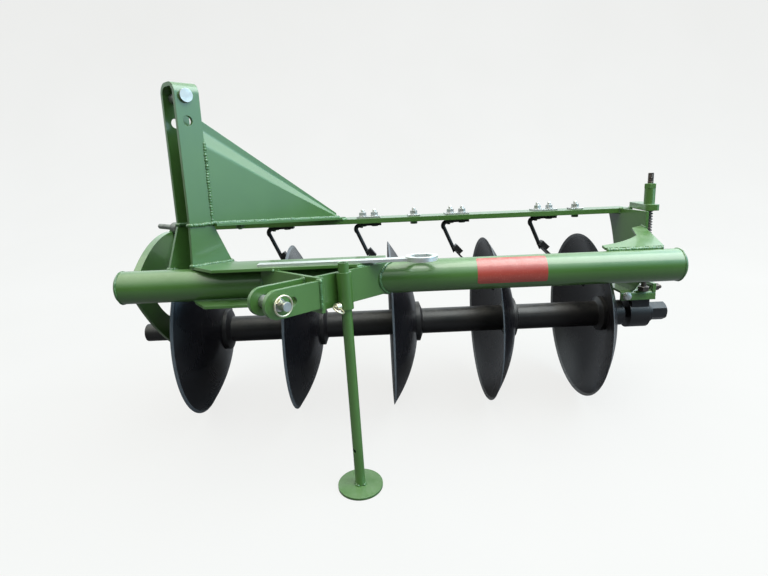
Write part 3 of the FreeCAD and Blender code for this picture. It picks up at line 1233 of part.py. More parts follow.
# ---- spanner ----
def gang_spanner():
    """Ring spanner for the gang nut, lying flat on the hitch plate."""
    z = HITCH_PLATE_TOP_Z
    half = SPANNER_BAR_WIDTH / 2
    ring_x = SPANNER_LEFT_X + SPANNER_LENGTH - SPANNER_RING_RADIUS
    bar = box(SPANNER_LEFT_X, ring_x, SPANNER_Y - half, SPANNER_Y + half, z,
              z + SPANNER_BAR_THICKNESS)
    head = Part.makeCylinder(SPANNER_RING_RADIUS, SPANNER_RING_THICKNESS,
                             Vector(ring_x, SPANNER_Y, z))
    hole = hexagon(Vector(ring_x, SPANNER_Y, z - CUTTER_OVERRUN),
                   GANG_NUT_ACROSS_FLATS + SPANNER_FIT, 2 * CUTTER_OVERRUN, Z_AXIS)
    return bar.fuse(head).removeSplitter().cut(hole)


# ---- parking ----
def park(parts):
    """Tip the plough nose up about the gang axis and put the floor under it at Z = 0."""
    whole = FreeCAD.BoundBox()
    for shape in parts.values():
        shape.rotate(Vector(0, 0, 0), X_AXIS, -PARK_ANGLE)
        whole.add(shape.optimalBoundingBox(False, False))
    move = Vector(-whole.Center.x, -whole.Center.y, DISC_RADIUS)
    for shape in parts.values():
        shape.translate(move)
    print("moved by", move, "size", whole.XLength, whole.YLength, whole.ZLength)
    return parts


def build_parts():
    """All sub-parts in the plough's frame."""
    parts = gang_parts()
    parts["main_tube"] = main_tube()
    parts["tube_caps"] = tube_caps()
    parts["rear_beam"] = rear_beam()
    parts["side_plate_left"] = left_side_plate()
    parts["side_plate_right"] = right_side_plate()
    parts["corner_gusset"] = corner_gusset()
    parts["bearing_left"] = left_bearing()
    parts["bearing_right"] = right_bearing()
    parts["bearing_hood"] = bearing_hood()
    parts["mast"] = mast()
    parts["mast_gusset"] = mast_gusset()
    strip = gusset_strip()
    right_foot = mast_foot(MAST_RIGHT_U, 1, HITCH_PLATE_TOP_Z, MAST_FOOT_FRONT_SPREAD,
                           MAST_FOOT_SPREAD)
    left_foot = mast_foot(MAST_LEFT_U, -1, TUBE_TOP_Z - LEFT_FOOT_DROP, LEFT_FOOT_SPREAD,
                          MAST_FOOT_SPREAD)
    parts["gusset_strip"] = strip
    parts["mast_foot_right"] = right_foot.cut(strip)
    parts["mast_foot_left"] = left_foot.cut(tube_seat()).cut(left_pin_hole())
    parts["hitch_plate"] = hitch_plate()
    parts["hitch_bracket"] = hitch_bracket()
    parts["hitch_under_plate"] = hitch_under_plate()
    half_gap = CLEVIS_GAP / 2
    parts["clevis_ear_inner"] = clevis_ear(CLEVIS_CENTRE_U - half_gap - CLEVIS_THICKNESS)
    parts["clevis_ear_outer"] = clevis_ear(CLEVIS_CENTRE_U + half_gap)
    parts.update(link_pin_parts())
    parts["left_link_pin"] = left_link_pin()
    parts["top_link_pin"] = top_link_pin()
    parts["stand_sleeve"] = stand_sleeve()
    parts["stand_lock_pin"] = stand_lock_pin()
    parts["stand_leg"] = stand_leg()
    parts["stand_foot"] = stand_foot()
    for index in range(DISC_COUNT):
        parts["scraper_%d" % (index + 1)] = scraper(index)
    parts["scraper_clamp_plates"] = clamp_plates()
    parts["scraper_clamp_pads"] = clamp_pads()
    parts["tail_plate"] = tail_plate()
    parts["tail_rod"] = tail_rod()
    parts["tail_spring"] = tail_spring()
    parts["spring_seat"] = spring_seat()
    parts["gang_spanner"] = gang_spanner()
    return park(parts)


def main():
    os.makedirs("parts", exist_ok=True)
    for name, shape in build_parts().items():
        shape.exportStep("parts/%s.step" % name)
        print(name, round(shape.Volume), shape.isValid())


main()
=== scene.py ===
# %% [markdown]
# # A disc plough, finished in Blender
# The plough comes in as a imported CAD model: a welded green frame, a gang of five dished discs
# that turns freely, and a parking stand that slides in its sleeve. CAD gives the true shapes and
# places. This lesson adds what a camera would see beyond them: weld beads, bolts, threads, a
# blank sticker, and paint that looks sprayed. Nothing that came from CAD is moved or reshaped.

# %% Load the fixed frame
import bpy
import bmesh
import json
import math
from mathutils import Matrix, Vector
from mathutils.bvhtree import BVHTree


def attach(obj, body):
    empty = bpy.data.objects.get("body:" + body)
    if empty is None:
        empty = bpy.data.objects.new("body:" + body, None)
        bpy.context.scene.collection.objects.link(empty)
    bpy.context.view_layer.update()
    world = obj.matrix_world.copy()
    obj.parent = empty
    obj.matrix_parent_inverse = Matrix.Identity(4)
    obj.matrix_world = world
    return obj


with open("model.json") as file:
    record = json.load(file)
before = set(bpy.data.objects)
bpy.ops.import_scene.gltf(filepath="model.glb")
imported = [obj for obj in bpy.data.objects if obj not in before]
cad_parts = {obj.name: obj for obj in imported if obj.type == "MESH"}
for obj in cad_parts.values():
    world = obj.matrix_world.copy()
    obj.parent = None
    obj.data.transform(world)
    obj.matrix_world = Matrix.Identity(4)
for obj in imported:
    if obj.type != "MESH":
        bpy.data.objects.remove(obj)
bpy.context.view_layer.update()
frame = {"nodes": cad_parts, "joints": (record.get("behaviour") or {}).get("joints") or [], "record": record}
nodes = frame["nodes"]
record = frame["record"]

# %% [markdown]
# ## The drawing frame
# A farm implement is easiest to describe along its own parts, not along the room. On this plough
# X runs along the gang axle, Z is square to the frame, and the hitch is turned by 45 degrees so
# that the discs meet the soil at an angle. Parked, the whole frame leans back a little on its
# stand. Small helpers turn "millimetres on the plough" into Blender's metres, so every later
# number reads like a workshop dimension. The axle's place comes from the CAD joint, not from a
# copy.

# %% Millimetres on the plough to metres in the room
MM = 0.001
PARK_TILT = Matrix.Rotation(math.radians(-6.0), 4, "X")
HITCH_TURN = Matrix.Rotation(math.radians(-135.0), 4, "Z")
joints = {joint["name"]: joint for joint in frame["joints"]}
AXLE = Vector(joints["gang_spin"]["pos_m"])
TO_ROOM = Matrix.Translation(AXLE) @ PARK_TILT @ Matrix.Scale(MM, 4)
HITCH_TO_ROOM = TO_ROOM @ HITCH_TURN


def on_plough(x, y, z):
    """Point in the plough's own frame, in millimetres."""
    return TO_ROOM @ Vector((x, y, z))


def on_hitch(t, u, z):
    """Point in the hitch frame: t towards the tractor, u to the right, z up."""
    return HITCH_TO_ROOM @ Vector((t, u, z))


def way(x, y, z):
    """Direction in the plough's frame, as a unit vector in the room."""
    return (TO_ROOM.to_3x3() @ Vector((x, y, z))).normalized()


print("gang axle at", [round(v, 4) for v in AXLE])

# %% [markdown]
# ## Camera
# The plough is seen from its front-left, a little above the mast foot, with a lens wide enough to
# make the near tube loom. The camera is built from yaw, pitch and roll: a short matrix is clearer
# than a tangle of constraints, and it never shifts when another part of the script changes.

# %% Place the camera
CAMERA_PLACE = Vector((-0.068248, -1.104905, 0.701170))
YAW, PITCH, ROLL = (math.radians(angle) for angle in (0.549, 18.187, -2.277))
FOCAL_LENGTH, SENSOR_WIDTH = 24.17, 36.0


def camera_turn(yaw, pitch, roll):
    """World matrix for a camera that looks along yaw and down by pitch, rolled about its view."""
    ahead = Vector((math.sin(yaw) * math.cos(pitch), math.cos(yaw) * math.cos(pitch),
                    -math.sin(pitch)))
    side = Vector((math.cos(yaw), -math.sin(yaw), 0.0))
    up = side.cross(ahead)
    right = side * math.cos(roll) + up * math.sin(roll)
    top = up * math.cos(roll) - side * math.sin(roll)
    return Matrix((right, top, -ahead)).transposed().to_4x4()


lens = bpy.data.cameras.new("plough_camera")
lens.lens = FOCAL_LENGTH
lens.sensor_width = SENSOR_WIDTH
camera = bpy.data.objects.new("plough_camera", lens)
bpy.context.scene.collection.objects.link(camera)
camera.matrix_world = Matrix.Translation(CAMERA_PLACE) @ camera_turn(YAW, PITCH, ROLL)
bpy.context.scene.camera = camera
print("camera at", [round(v, 3) for v in camera.location])

# %% [markdown]
# ## A pale sweep to stand on
# In a studio a machine stands on a paper sweep: floor and wall are one sheet, so there is no line
# where they meet. It could be a flat plane with a white world behind it, but the horizon would
# show. Here one strip is bent up behind the plough through a quarter circle.

# %% Build the sweep
def link(name, mesh):
    """Put a mesh in the scene as an object at the origin."""
    piece = bpy.data.objects.new(name, mesh)
    bpy.context.scene.collection.objects.link(piece)
    return piece


def sweep_sheet(front, rear, bend, height, half_width, steps=24):
    """Floor that bends up into a wall, as rows of quads."""
    profile = [(front, 0.0), (rear, 0.0)]
    for step in range(1, steps + 1):
        angle = math.pi / 2 * step / steps
        profile.append((rear + bend * math.sin(angle), bend * (1 - math.cos(angle))))
    profile.append((rear + bend, height))
    points = []
    faces = []
    for y, z in profile:
        points += [(-half_width, y, z), (half_width, y, z)]
    for row in range(len(profile) - 1):
        faces.append((2 * row, 2 * row + 1, 2 * row + 3, 2 * row + 2))
    mesh = bpy.data.meshes.new("sweep")
    mesh.from_pydata(points, [], faces)
    mesh.shade_smooth()
    return link("sweep", mesh)


sweep = sweep_sheet(front=-4.0, rear=1.6, bend=1.6, height=5.0, half_width=7.0)
print("sweep has", len(sweep.data.polygons), "faces")


# %% [markdown]
# ## Writing node trees as text
# Every finish below is a tree of nodes, and so is every Geometry Nodes shape. Drawn by hand, a
# tree is quick to make and hard to change. Written as text it can be read, repeated and compared,
# but each node takes several lines. One small helper adds a node, sets it and links it in one
# call, and it serves both kinds of tree.

# %% Start a material, and add a node
def new_material(name):
    """Empty node material with its output, and the tree to build it in."""
    material = bpy.data.materials.new(name)
    material.use_nodes = True
    tree = material.node_tree
    tree.nodes.clear()
    tree.nodes.new("ShaderNodeOutputMaterial").name = "out"
    return material, tree


def close_shader(tree, shader):
    """Join the shader to the material's output."""
    tree.links.new(shader.outputs[0], tree.nodes["out"].inputs["Surface"])


def add(tree, kind, inputs=None, **settings):
    """Add a node, set its properties, and give its inputs values or links."""
    node = tree.nodes.new(kind)
    for key, value in settings.items():
        setattr(node, key, value)
    for key, value in (inputs or {}).items():
        if isinstance(value, bpy.types.NodeSocket):
            tree.links.new(value, node.inputs[key])
        else:
            node.inputs[key].default_value = value
    return node


print("materials before any is made:", len(bpy.data.materials))

# %% [markdown]
# ## Sums, blends and ranges
# Three steps come back in every finish: a sum on two values, a blend of two colours, and a range
# of values stretched on to another. Each could be spelled out where it is needed, but a named
# step that hands back its socket lets a finish read like a recipe.

# %% The three steps
def math_node(tree, operation, a, b=0.0, c=0.0, clamp=False):
    """One arithmetic step; returns its output socket."""
    return add(tree, "ShaderNodeMath", {0: a, 1: b, 2: c}, operation=operation,
               use_clamp=clamp).outputs[0]


def blend_colours(tree, factor, first, second):
    """Mix two colours; returns the colour socket."""
    node = tree.nodes.new("ShaderNodeMix")
    node.data_type = "RGBA"
    wanted = (("Factor", "VALUE", factor), ("A", "RGBA", first), ("B", "RGBA", second))
    for key, kind, value in wanted:
        socket = next(s for s in node.inputs if s.name == key and s.type == kind)
        if isinstance(value, bpy.types.NodeSocket):
            tree.links.new(value, socket)
        else:
            socket.default_value = value
    return next(s for s in node.outputs if s.type == "RGBA")


def spread(tree, value, low, high, to_low=0.0, to_high=1.0):
    """Map a range of values to another, clamped."""
    return add(tree, "ShaderNodeMapRange", {"Value": value, "From Min": low, "From Max": high,
                                            "To Min": to_low, "To Max": to_high}).outputs["Result"]


print("steps ready:", [step.__name__ for step in (math_node, blend_colours, spread)])

# %% [markdown]
# ## Paper for the sweep
# The paper glows a little, like a light table, so the shadows stay faint. Outdoors, paint mirrors
# darker ground from below and open sky from the side, and white paper all round would wash it
# out. So the sheet shows pale paper only to the camera. To every other ray its floor is dull
# ground and its wall is bright sky, which keeps the undersides of the tubes dark.

# %% Make the paper
paper, tree = new_material("sweep_paper")
spot = add(tree, "ShaderNodeTexCoord").outputs["Object"]
fibre = add(tree, "ShaderNodeTexNoise",
            {"Vector": spot, "Scale": 1.5, "Detail": 3.0}).outputs["Fac"]
glow_tone = blend_colours(tree, fibre, (0.79, 0.79, 0.775, 1), (0.82, 0.82, 0.81, 1))
sheet_tone = blend_colours(tree, fibre, (0.050, 0.050, 0.049, 1), (0.056, 0.056, 0.055, 1))
ground_tone = blend_colours(tree, fibre, (0.100, 0.096, 0.100, 1), (0.132, 0.126, 0.130, 1))
glow = add(tree, "ShaderNodeEmission", {"Color": glow_tone})
sheet = add(tree, "ShaderNodeBsdfDiffuse", {"Color": sheet_tone})
seen = add(tree, "ShaderNodeAddShader", {0: glow.outputs[0], 1: sheet.outputs[0]})
ground = add(tree, "ShaderNodeBsdfDiffuse", {"Color": ground_tone})
back_sky = add(tree, "ShaderNodeEmission", {"Color": (0.86, 0.96, 1.0, 1), "Strength": 1.5})
tall = spread(tree, add(tree, "ShaderNodeSeparateXYZ", {0: spot}).outputs["Z"], 0.05, 0.8)
felt = add(tree, "ShaderNodeMixShader", {0: tall, 1: ground.outputs[0], 2: back_sky.outputs[0]})
ray = add(tree, "ShaderNodeLightPath").outputs["Is Camera Ray"]
answer = add(tree, "ShaderNodeMixShader", {0: ray, 1: felt.outputs[0], 2: seen.outputs[0]})
close_shader(tree, answer)
sweep.data.materials.append(paper)
print("paper has", len(tree.nodes), "nodes")

# %% [markdown]
# ## Sky
# The paint shows an open, slightly overcast sky: tops of tubes are almost white, upright faces
# are tinged with blue, and undersides fall to dark green. A ready-made sky picture would do this,
# but a world whose colour depends on height is plainer and needs no file. It is darker in front,
# where trees would stand, and bluer to the right. The camera itself sees only pale paper.

# %% Paint the sky
world = bpy.data.worlds.new("soft_sky")
bpy.context.scene.world = world
world.use_nodes = True
tree = world.node_tree
tree.nodes.clear()
TREES_IN_FRONT = 0.38
SKY_STRENGTH = 3.3
SKY_STEPS = [(0.0, (0.02, 0.018, 0.015, 1)), (1.0, (0.97, 0.99, 1.0, 1)),
             (0.48, (0.03, 0.028, 0.024, 1)), (0.51, (0.13, 0.15, 0.16, 1)),
             (0.60, (0.20, 0.24, 0.26, 1)), (0.80, (0.70, 0.73, 0.75, 1))]
ray_way = add(tree, "ShaderNodeTexCoord").outputs["Generated"]
looking = add(tree, "ShaderNodeSeparateXYZ", {0: ray_way})
forward = math_node(tree, "MAXIMUM", math_node(tree, "MULTIPLY", looking.outputs["Y"], -1.0))
open_height = math_node(tree, "SUBTRACT", looking.outputs["Z"],
                        math_node(tree, "MULTIPLY", forward, TREES_IN_FRONT))
sky = add(tree, "ShaderNodeValToRGB", {0: spread(tree, open_height, -1.0, 1.0)})
for element, (place, colour) in zip(sky.color_ramp.elements, SKY_STEPS):
    element.position = place
    element.color = colour
for place, colour in SKY_STEPS[2:]:
    sky.color_ramp.elements.new(place).color = colour
tint = blend_colours(tree, spread(tree, looking.outputs["X"], 0.0, 0.75),
                     (1.0, 1.0, 0.90, 1), (0.72, 1.20, 1.60, 1))
tinted = add(tree, "ShaderNodeVectorMath", {0: sky.outputs["Color"], 1: tint},
             operation="MULTIPLY").outputs[0]
daylight = add(tree, "ShaderNodeBackground", {"Color": tinted, "Strength": SKY_STRENGTH})
plain = add(tree, "ShaderNodeBackground", {"Color": (0.92, 0.925, 0.915, 1), "Strength": 1.0})
ray = add(tree, "ShaderNodeLightPath").outputs["Is Camera Ray"]
shown = add(tree, "ShaderNodeMixShader", {0: ray, 1: daylight.outputs[0], 2: plain.outputs[0]})
tree.links.new(shown.outputs[0], add(tree, "ShaderNodeOutputWorld").inputs["Surface"])
print("sky has", len(SKY_STEPS), "steps from ground to zenith")

# %% [markdown]
# ## Lamps
# The sky alone is too even to show that a disc is dished. Small hard lamps would draw sharp dots
# on the paint, so these are large soft squares. One overhead gives the tubes their bright line, a
# cooler one like a window lights the mast's right side, and a weak one behind lifts the rear
# edges.

# %% Hang the lamps
def soft_lamp(name, place, target, size, power, colour):
    """Square area lamp aimed at a point."""
    lamp = bpy.data.lights.new(name, "AREA")
    lamp.energy = power
    lamp.size = size
    lamp.color = colour
    piece = bpy.data.objects.new(name, lamp)
    piece.location = place
    piece.rotation_euler = (Vector(target) - Vector(place)).to_track_quat("-Z", "Y").to_euler()
    piece.visible_camera = False
    bpy.context.scene.collection.objects.link(piece)


soft_lamp("overhead", (1.3, -0.3, 2.6), (0.2, 0, 0.3), 2.2, 80, (1.0, 0.99, 0.93))
soft_lamp("right_window", (3.2, -1.4, 1.5), (0, 0, 0.45), 2.4, 44, (0.58, 0.86, 1.0))
soft_lamp("rear_skylight", (2.4, 2.0, 2.5), (-0.3, 0, 0.6), 1.5, 15, (0.70, 0.90, 1.0))
bpy.context.scene.view_settings.view_transform = "Standard"
print("lamps:", [lamp.name for lamp in bpy.data.lights])

# %% [markdown]
# ## Effects that several finishes share
# Sprayed paint, black enamel and zinc all need the same few effects: a softened edge where a
# cutter or a grinder broke the corner, the fine orange-peel skin of sprayed paint, dust that
# settles on what faces up, and the fine rings that turning or polishing leaves. Each is one
# shader group with named inputs, so a finish only says how much of it it wants. The groups hand
# out masks, heights and normals; the shader itself stays in each material, where its own fixed
# values are set.

# %% Start a shader group
def start_group(name, takes, gives):
    """New group from (name, kind, value) inputs and (name, kind) outputs; returns its ends."""
    group = bpy.data.node_groups.new(name, "ShaderNodeTree")
    for label, kind, value in takes:
        socket = group.interface.new_socket(name=label, in_out="INPUT",
                                            socket_type="NodeSocket" + kind)
        if value is not None:
            socket.default_value = value
    for label, kind in gives:
        group.interface.new_socket(name=label, in_out="OUTPUT", socket_type="NodeSocket" + kind)
    entry = group.nodes.new("NodeGroupInput")
    leave = group.nodes.new("NodeGroupOutput")
    return group, entry.outputs, leave.inputs


def use_group(tree, group, inputs):
    """Place a shader group in a material; returns its outputs."""
    node = tree.nodes.new("ShaderNodeGroup")
    node.node_tree = group
    for key, value in inputs.items():
        if isinstance(value, bpy.types.NodeSocket):
            tree.links.new(value, node.inputs[key])
        else:
            node.inputs[key].default_value = value
    return node.outputs


print("shader groups so far:", len(bpy.data.node_groups))

# %% [markdown]
# ## Softened, rubbed edges
# No real edge is perfectly sharp: a grinder breaks it, and handling wears the paint off it.
# Cutting a bevel into every CAD edge would change the model, so the shader softens the edge's
# normal alone. Where the softened normal leaves the true one there is an edge, and noise breaks
# it into chips.

# %% Group: edges that are broken and rubbed
edge_rub, takes, gives = start_group(
    "edge_rub",
    [("Place", "Vector", None), ("Radius", "Float", 0.001), ("Breakup", "Float", 90.0)],
    [("Rubbed", "Float"), ("Normal", "Vector")])
softened = add(edge_rub, "ShaderNodeBevel", {"Radius": takes["Radius"]}, samples=6)
true_face = add(edge_rub, "ShaderNodeNewGeometry")
same = add(edge_rub, "ShaderNodeVectorMath",
           {0: softened.outputs["Normal"], 1: true_face.outputs["Normal"]},
           operation="DOT_PRODUCT").outputs["Value"]
bent = spread(edge_rub, same, 0.995, 0.80)
chips = add(edge_rub, "ShaderNodeTexNoise", {"Vector": takes["Place"], "Scale": takes["Breakup"],
                                            "Detail": 4.0}).outputs["Fac"]
rubbed = math_node(edge_rub, "MULTIPLY", bent, spread(edge_rub, chips, 0.42, 0.62))
edge_rub.links.new(rubbed, gives["Rubbed"])
edge_rub.links.new(softened.outputs["Normal"], gives["Normal"])
print(edge_rub.name, "has", len(edge_rub.nodes), "nodes")

# %% [markdown]
# ## The skin of sprayed paint
# Sprayed enamel dries to a fine orange peel, and runs a little thicker here and thinner there.
# One noise could serve for both, but their sizes differ forty times, so a fine one gives the peel
# and a coarse one the thickness. The coarse one also shifts the colour and the gloss.

# %% Group: peel and patches
THICKNESS_TO_PEEL = 3.0
spray_skin, takes, gives = start_group(
    "spray_skin",
    [("Place", "Vector", None), ("Peel", "Float", 260.0), ("Patches", "Float", 7.0)],
    [("Height", "Float"), ("Tone", "Float")])
peel = add(spray_skin, "ShaderNodeTexNoise", {"Vector": takes["Place"], "Scale": takes["Peel"],
                                             "Detail": 2.0, "Roughness": 0.6}).outputs["Fac"]
sag = add(spray_skin, "ShaderNodeTexNoise", {"Vector": takes["Place"], "Scale": takes["Patches"],
                                            "Detail": 3.0}).outputs["Fac"]
height = math_node(spray_skin, "MULTIPLY_ADD", sag, THICKNESS_TO_PEEL, peel)
spray_skin.links.new(height, gives["Height"])
spray_skin.links.new(spread(spray_skin, sag, 0.3, 0.7), gives["Tone"])
print(spray_skin.name, "has", len(spray_skin.nodes), "nodes")

# %% [markdown]
# ## Settled dust
# Dust lies on what faces up, thickest in loose clouds. It could be painted on by hand, but then
# every piece would need its own painting. The upward part of the normal says where it can lie.

# %% Group: dust that settles on top
settled_dust, takes, gives = start_group(
    "settled_dust",
    [("Place", "Vector", None), ("Amount", "Float", 0.4), ("Size", "Float", 35.0)],
    [("Dust", "Float")])
facing = add(settled_dust, "ShaderNodeSeparateXYZ",
             {0: add(settled_dust, "ShaderNodeNewGeometry").outputs["Normal"]}).outputs["Z"]
up = spread(settled_dust, facing, 0.35, 0.98)
clouds = add(settled_dust, "ShaderNodeTexNoise", {"Vector": takes["Place"], "Scale": takes["Size"],
                                                 "Detail": 6.0, "Roughness": 0.65}).outputs["Fac"]
lying = math_node(settled_dust, "MULTIPLY", up, spread(settled_dust, clouds, 0.35, 0.75))
dust_left = math_node(settled_dust, "MULTIPLY", lying, takes["Amount"], clamp=True)
settled_dust.links.new(dust_left, gives["Dust"])
print(settled_dust.name, "has", len(settled_dust.nodes), "nodes")

# %% [markdown]
# ## Rings left by polishing
# A disc is polished as it spins, which leaves fine rings about its axle. A texture of circles
# laid on one disc would not fit the next one, so the rings come from the distance to the axle's
# line, and the same group serves all five. It also hands out that distance, to find the rim.

# %% Group: rings and streaks left by turning
turned_grain, takes, gives = start_group(
    "turned_grain", [("Place", "Vector", None), ("Centre", "Vector", (0.0, 0.0, 0.0)),
                     ("Rings", "Float", 900.0)], [("Height", "Float"), ("Radius", "Float")])
from_axle = add(turned_grain, "ShaderNodeVectorMath", {0: takes["Place"], 1: takes["Centre"]},
                operation="SUBTRACT").outputs["Vector"]
flat = add(turned_grain, "ShaderNodeVectorMath", {0: from_axle, 1: (0.0, 1.0, 1.0)},
           operation="MULTIPLY").outputs["Vector"]
radius = add(turned_grain, "ShaderNodeVectorMath", {0: flat}, operation="LENGTH").outputs["Value"]
lines = add(turned_grain, "ShaderNodeTexNoise",
            {"W": radius, "Scale": takes["Rings"], "Detail": 2.0},
            noise_dimensions="1D").outputs["Fac"]
turned_grain.links.new(lines, gives["Height"])
turned_grain.links.new(radius, gives["Radius"])
print("shader groups so far:", [group.name for group in bpy.data.node_groups])

# %% [markdown]
# ## One recipe for enamel
# All the paint on the plough is sprayed enamel: a coloured body, lighter where edges are rubbed,
# dusty on top, with a skin that bends the light. Four separate materials would drift apart as
# they are tuned. So the order of the layers is written once, and each paint only gives its own
# values. The fixed ones, such as the gloss coat, are set on the shader's own sockets.

# %% Bump from a height
BUMP_DEPTH = 0.0002


def raised(tree, height, normal=None, strength=0.3, distance=BUMP_DEPTH):
    """Bump from a height; returns the normal."""
    inputs = {"Height": height, "Strength": strength, "Distance": distance}
    if normal is not None:
        inputs["Normal"] = normal
    return add(tree, "ShaderNodeBump", inputs).outputs["Normal"]


def object_place(tree):
    """Where a point lies on the piece, in metres."""
    return add(tree, "ShaderNodeTexCoord").outputs["Object"]


print("bumps are about", round(BUMP_DEPTH / MM, 2), "mm deep")

# %% [markdown]
# ## The layers, from steel to dust
# The recipe starts with the body colour, which wanders between a thick and a thin tone. Rubbed
# edges go over it, then a ground rim if the piece has one, lightened further as a painted sheen,
# then dust. Roughness follows the same masks, so a patch that looks dusty is also dull. Doing it
# the other way round, dust first, would let a rubbed edge shine through the dust.

# %% The enamel recipe
RING_BUMP, RING_DULLS = 0.10, 0.06
RIM_BLEND = 0.0015


def enamel(name, edge, breakup, peel, patches, dust, dust_size, thick, thin, rub, rub_to,
           dust_to, gloss, dust_dulls, bump, depth, coat, coat_rough, ior,
           rings=None, rim=None, rim_tone_and_sheen=None):
    """Sprayed paint; rings, rim and rim_tone_and_sheen are for a piece that was polished as it spun."""
    material, tree = new_material(name)
    place = object_place(tree)
    edges = use_group(tree, edge_rub, {"Place": place, "Radius": edge, "Breakup": breakup})
    skin = use_group(tree, spray_skin, {"Place": place, "Peel": peel, "Patches": patches})
    dusted = use_group(tree, settled_dust,
                       {"Place": place, "Amount": dust, "Size": dust_size})["Dust"]
    colour = blend_colours(tree, skin["Tone"], thick, thin)
    colour = blend_colours(tree, math_node(tree, "MULTIPLY", edges["Rubbed"], rub), colour, rub_to)
    rough = math_node(tree, "MULTIPLY_ADD", dusted, dust_dulls,
                      spread(tree, skin["Tone"], 0, 1, *gloss))
    normal = edges["Normal"]
    if rings:
        polish = use_group(tree, turned_grain, {"Place": place, "Centre": AXLE, "Rings": rings})
        # The grey rim band is a ground bevel, lightened further as a painted sheen.
        rim_and_sheen_band = spread(tree, polish["Radius"], rim, rim + RIM_BLEND)
        colour = blend_colours(tree, rim_and_sheen_band, colour, rim_tone_and_sheen)
        rough = math_node(tree, "ADD", rough,
                          math_node(tree, "MULTIPLY", polish["Height"], RING_DULLS))
        normal = raised(tree, polish["Height"], normal, RING_BUMP)
    colour = blend_colours(tree, dusted, colour, dust_to)
    shader = add(tree, "ShaderNodeBsdfPrincipled",
                 {"Base Color": colour, "Roughness": rough,
                  "Normal": raised(tree, skin["Height"], normal, bump, depth),
                  "Coat Weight": coat, "Coat Roughness": coat_rough, "IOR": ior})
    close_shader(tree, shader)
    print(name, "has", len(tree.nodes), "nodes")
    return material


# %% [markdown]
# ## Green enamel
# The frame is sprayed with one coat of glossy green straight over steel and weld. It is thinner
# and lighter along cut edges, a little darker where it pooled, and the top faces carry pale dust.
# A coat layer gives the wet-looking sky reflection, which plain roughness can't give by itself.
# Over a weld the same paint lies on ripples and spatter, so its crests are rubbed more and its
# bump is coarser.

# %% Mix the greens
finishes = {}
finishes["green_paint"] = enamel(
    "green_enamel", edge=0.0016, breakup=70.0, peel=240.0, patches=6.0, dust=0.30, dust_size=28.0,
    thick=(0.041, 0.103, 0.018, 1), thin=(0.056, 0.129, 0.026, 1),
    rub=0.55, rub_to=(0.13, 0.26, 0.11, 1), dust_to=(0.22, 0.27, 0.18, 1),
    gloss=(0.30, 0.38), dust_dulls=0.5, bump=0.10, depth=0.0002,
    coat=0.6, coat_rough=0.12, ior=1.5)
finishes["weld"] = enamel(
    "weld_enamel", edge=0.0008, breakup=260.0, peel=700.0, patches=45.0, dust=0.35, dust_size=90.0,
    thick=(0.030, 0.088, 0.020, 1), thin=(0.062, 0.150, 0.042, 1),
    rub=0.6, rub_to=(0.17, 0.29, 0.14, 1), dust_to=(0.26, 0.30, 0.21, 1),
    gloss=(0.30, 0.46), dust_dulls=0.0, bump=0.45, depth=0.0005,
    coat=0.5, coat_rough=0.15, ior=1.5)

# %% [markdown]
# ## Black enamel
# The discs are sprayed in a thin glossy black over rolled steel; the sharpened rim is a little
# greyer where the soil or a grinder has been, and greyer still as a painted sheen. Fine rings bend
# their reflections into soft streaks. The spools, bearings and scrapers are castings and forgings
# with a rougher skin and thicker paint, so they get the same recipe with a duller gloss and no rings.

# %% Mix the blacks
finishes["disc_steel"] = enamel(
    "disc_enamel", edge=0.0014, breakup=55.0, peel=190.0, patches=9.0, dust=0.16, dust_size=40.0,
    thick=(0.0060, 0.0052, 0.0062, 1), thin=(0.0120, 0.0102, 0.0112, 1),
    rub=0.75, rub_to=(0.16, 0.16, 0.165, 1), dust_to=(0.15, 0.145, 0.145, 1),
    gloss=(0.17, 0.30), dust_dulls=0.0, bump=0.12, depth=0.0002,
    coat=0.12, coat_rough=0.10, ior=1.4,
    # Rim colour: a ground bevel, lightened further as a painted sheen.
    rings=620.0, rim=0.1990, rim_tone_and_sheen=(0.105, 0.105, 0.110, 1))
finishes["black_paint"] = enamel(
    "black_enamel", edge=0.0018, breakup=80.0, peel=330.0, patches=14.0, dust=0.22, dust_size=45.0,
    thick=(0.008, 0.0075, 0.0085, 1), thin=(0.016, 0.014, 0.014, 1),
    rub=0.5, rub_to=(0.13, 0.125, 0.12, 1), dust_to=(0.20, 0.18, 0.155, 1),
    gloss=(0.34, 0.50), dust_dulls=0.6, bump=0.28, depth=0.0004,
    coat=0.08, coat_rough=0.20, ior=1.4)

# %% [markdown]
# ## Plated and bare steel
# Pins, bolts and the spanner are zinc plated: a pale, slightly blue metal whose crystals make
# soft patches. The spanner is newer and brighter than the rest, and the slim left pin has gone
# dull. Lynch pins are plated yellow. The tail spring and its rod are oiled steel that has turned
# brown. All are metal with a noise that shifts tone and roughness together, so one recipe serves
# them.

# %% The recipe for metal
METAL_EDGE, METAL_BREAKUP, METAL_GRAIN = 0.0008, 160.0, 900.0
CRYSTAL_SHARE, CRYSTALS_TO_PATCHES = 0.25, 9.0
PALE_DUST = (0.45, 0.42, 0.37, 1)
METAL_DUST_DULLS = 0.4


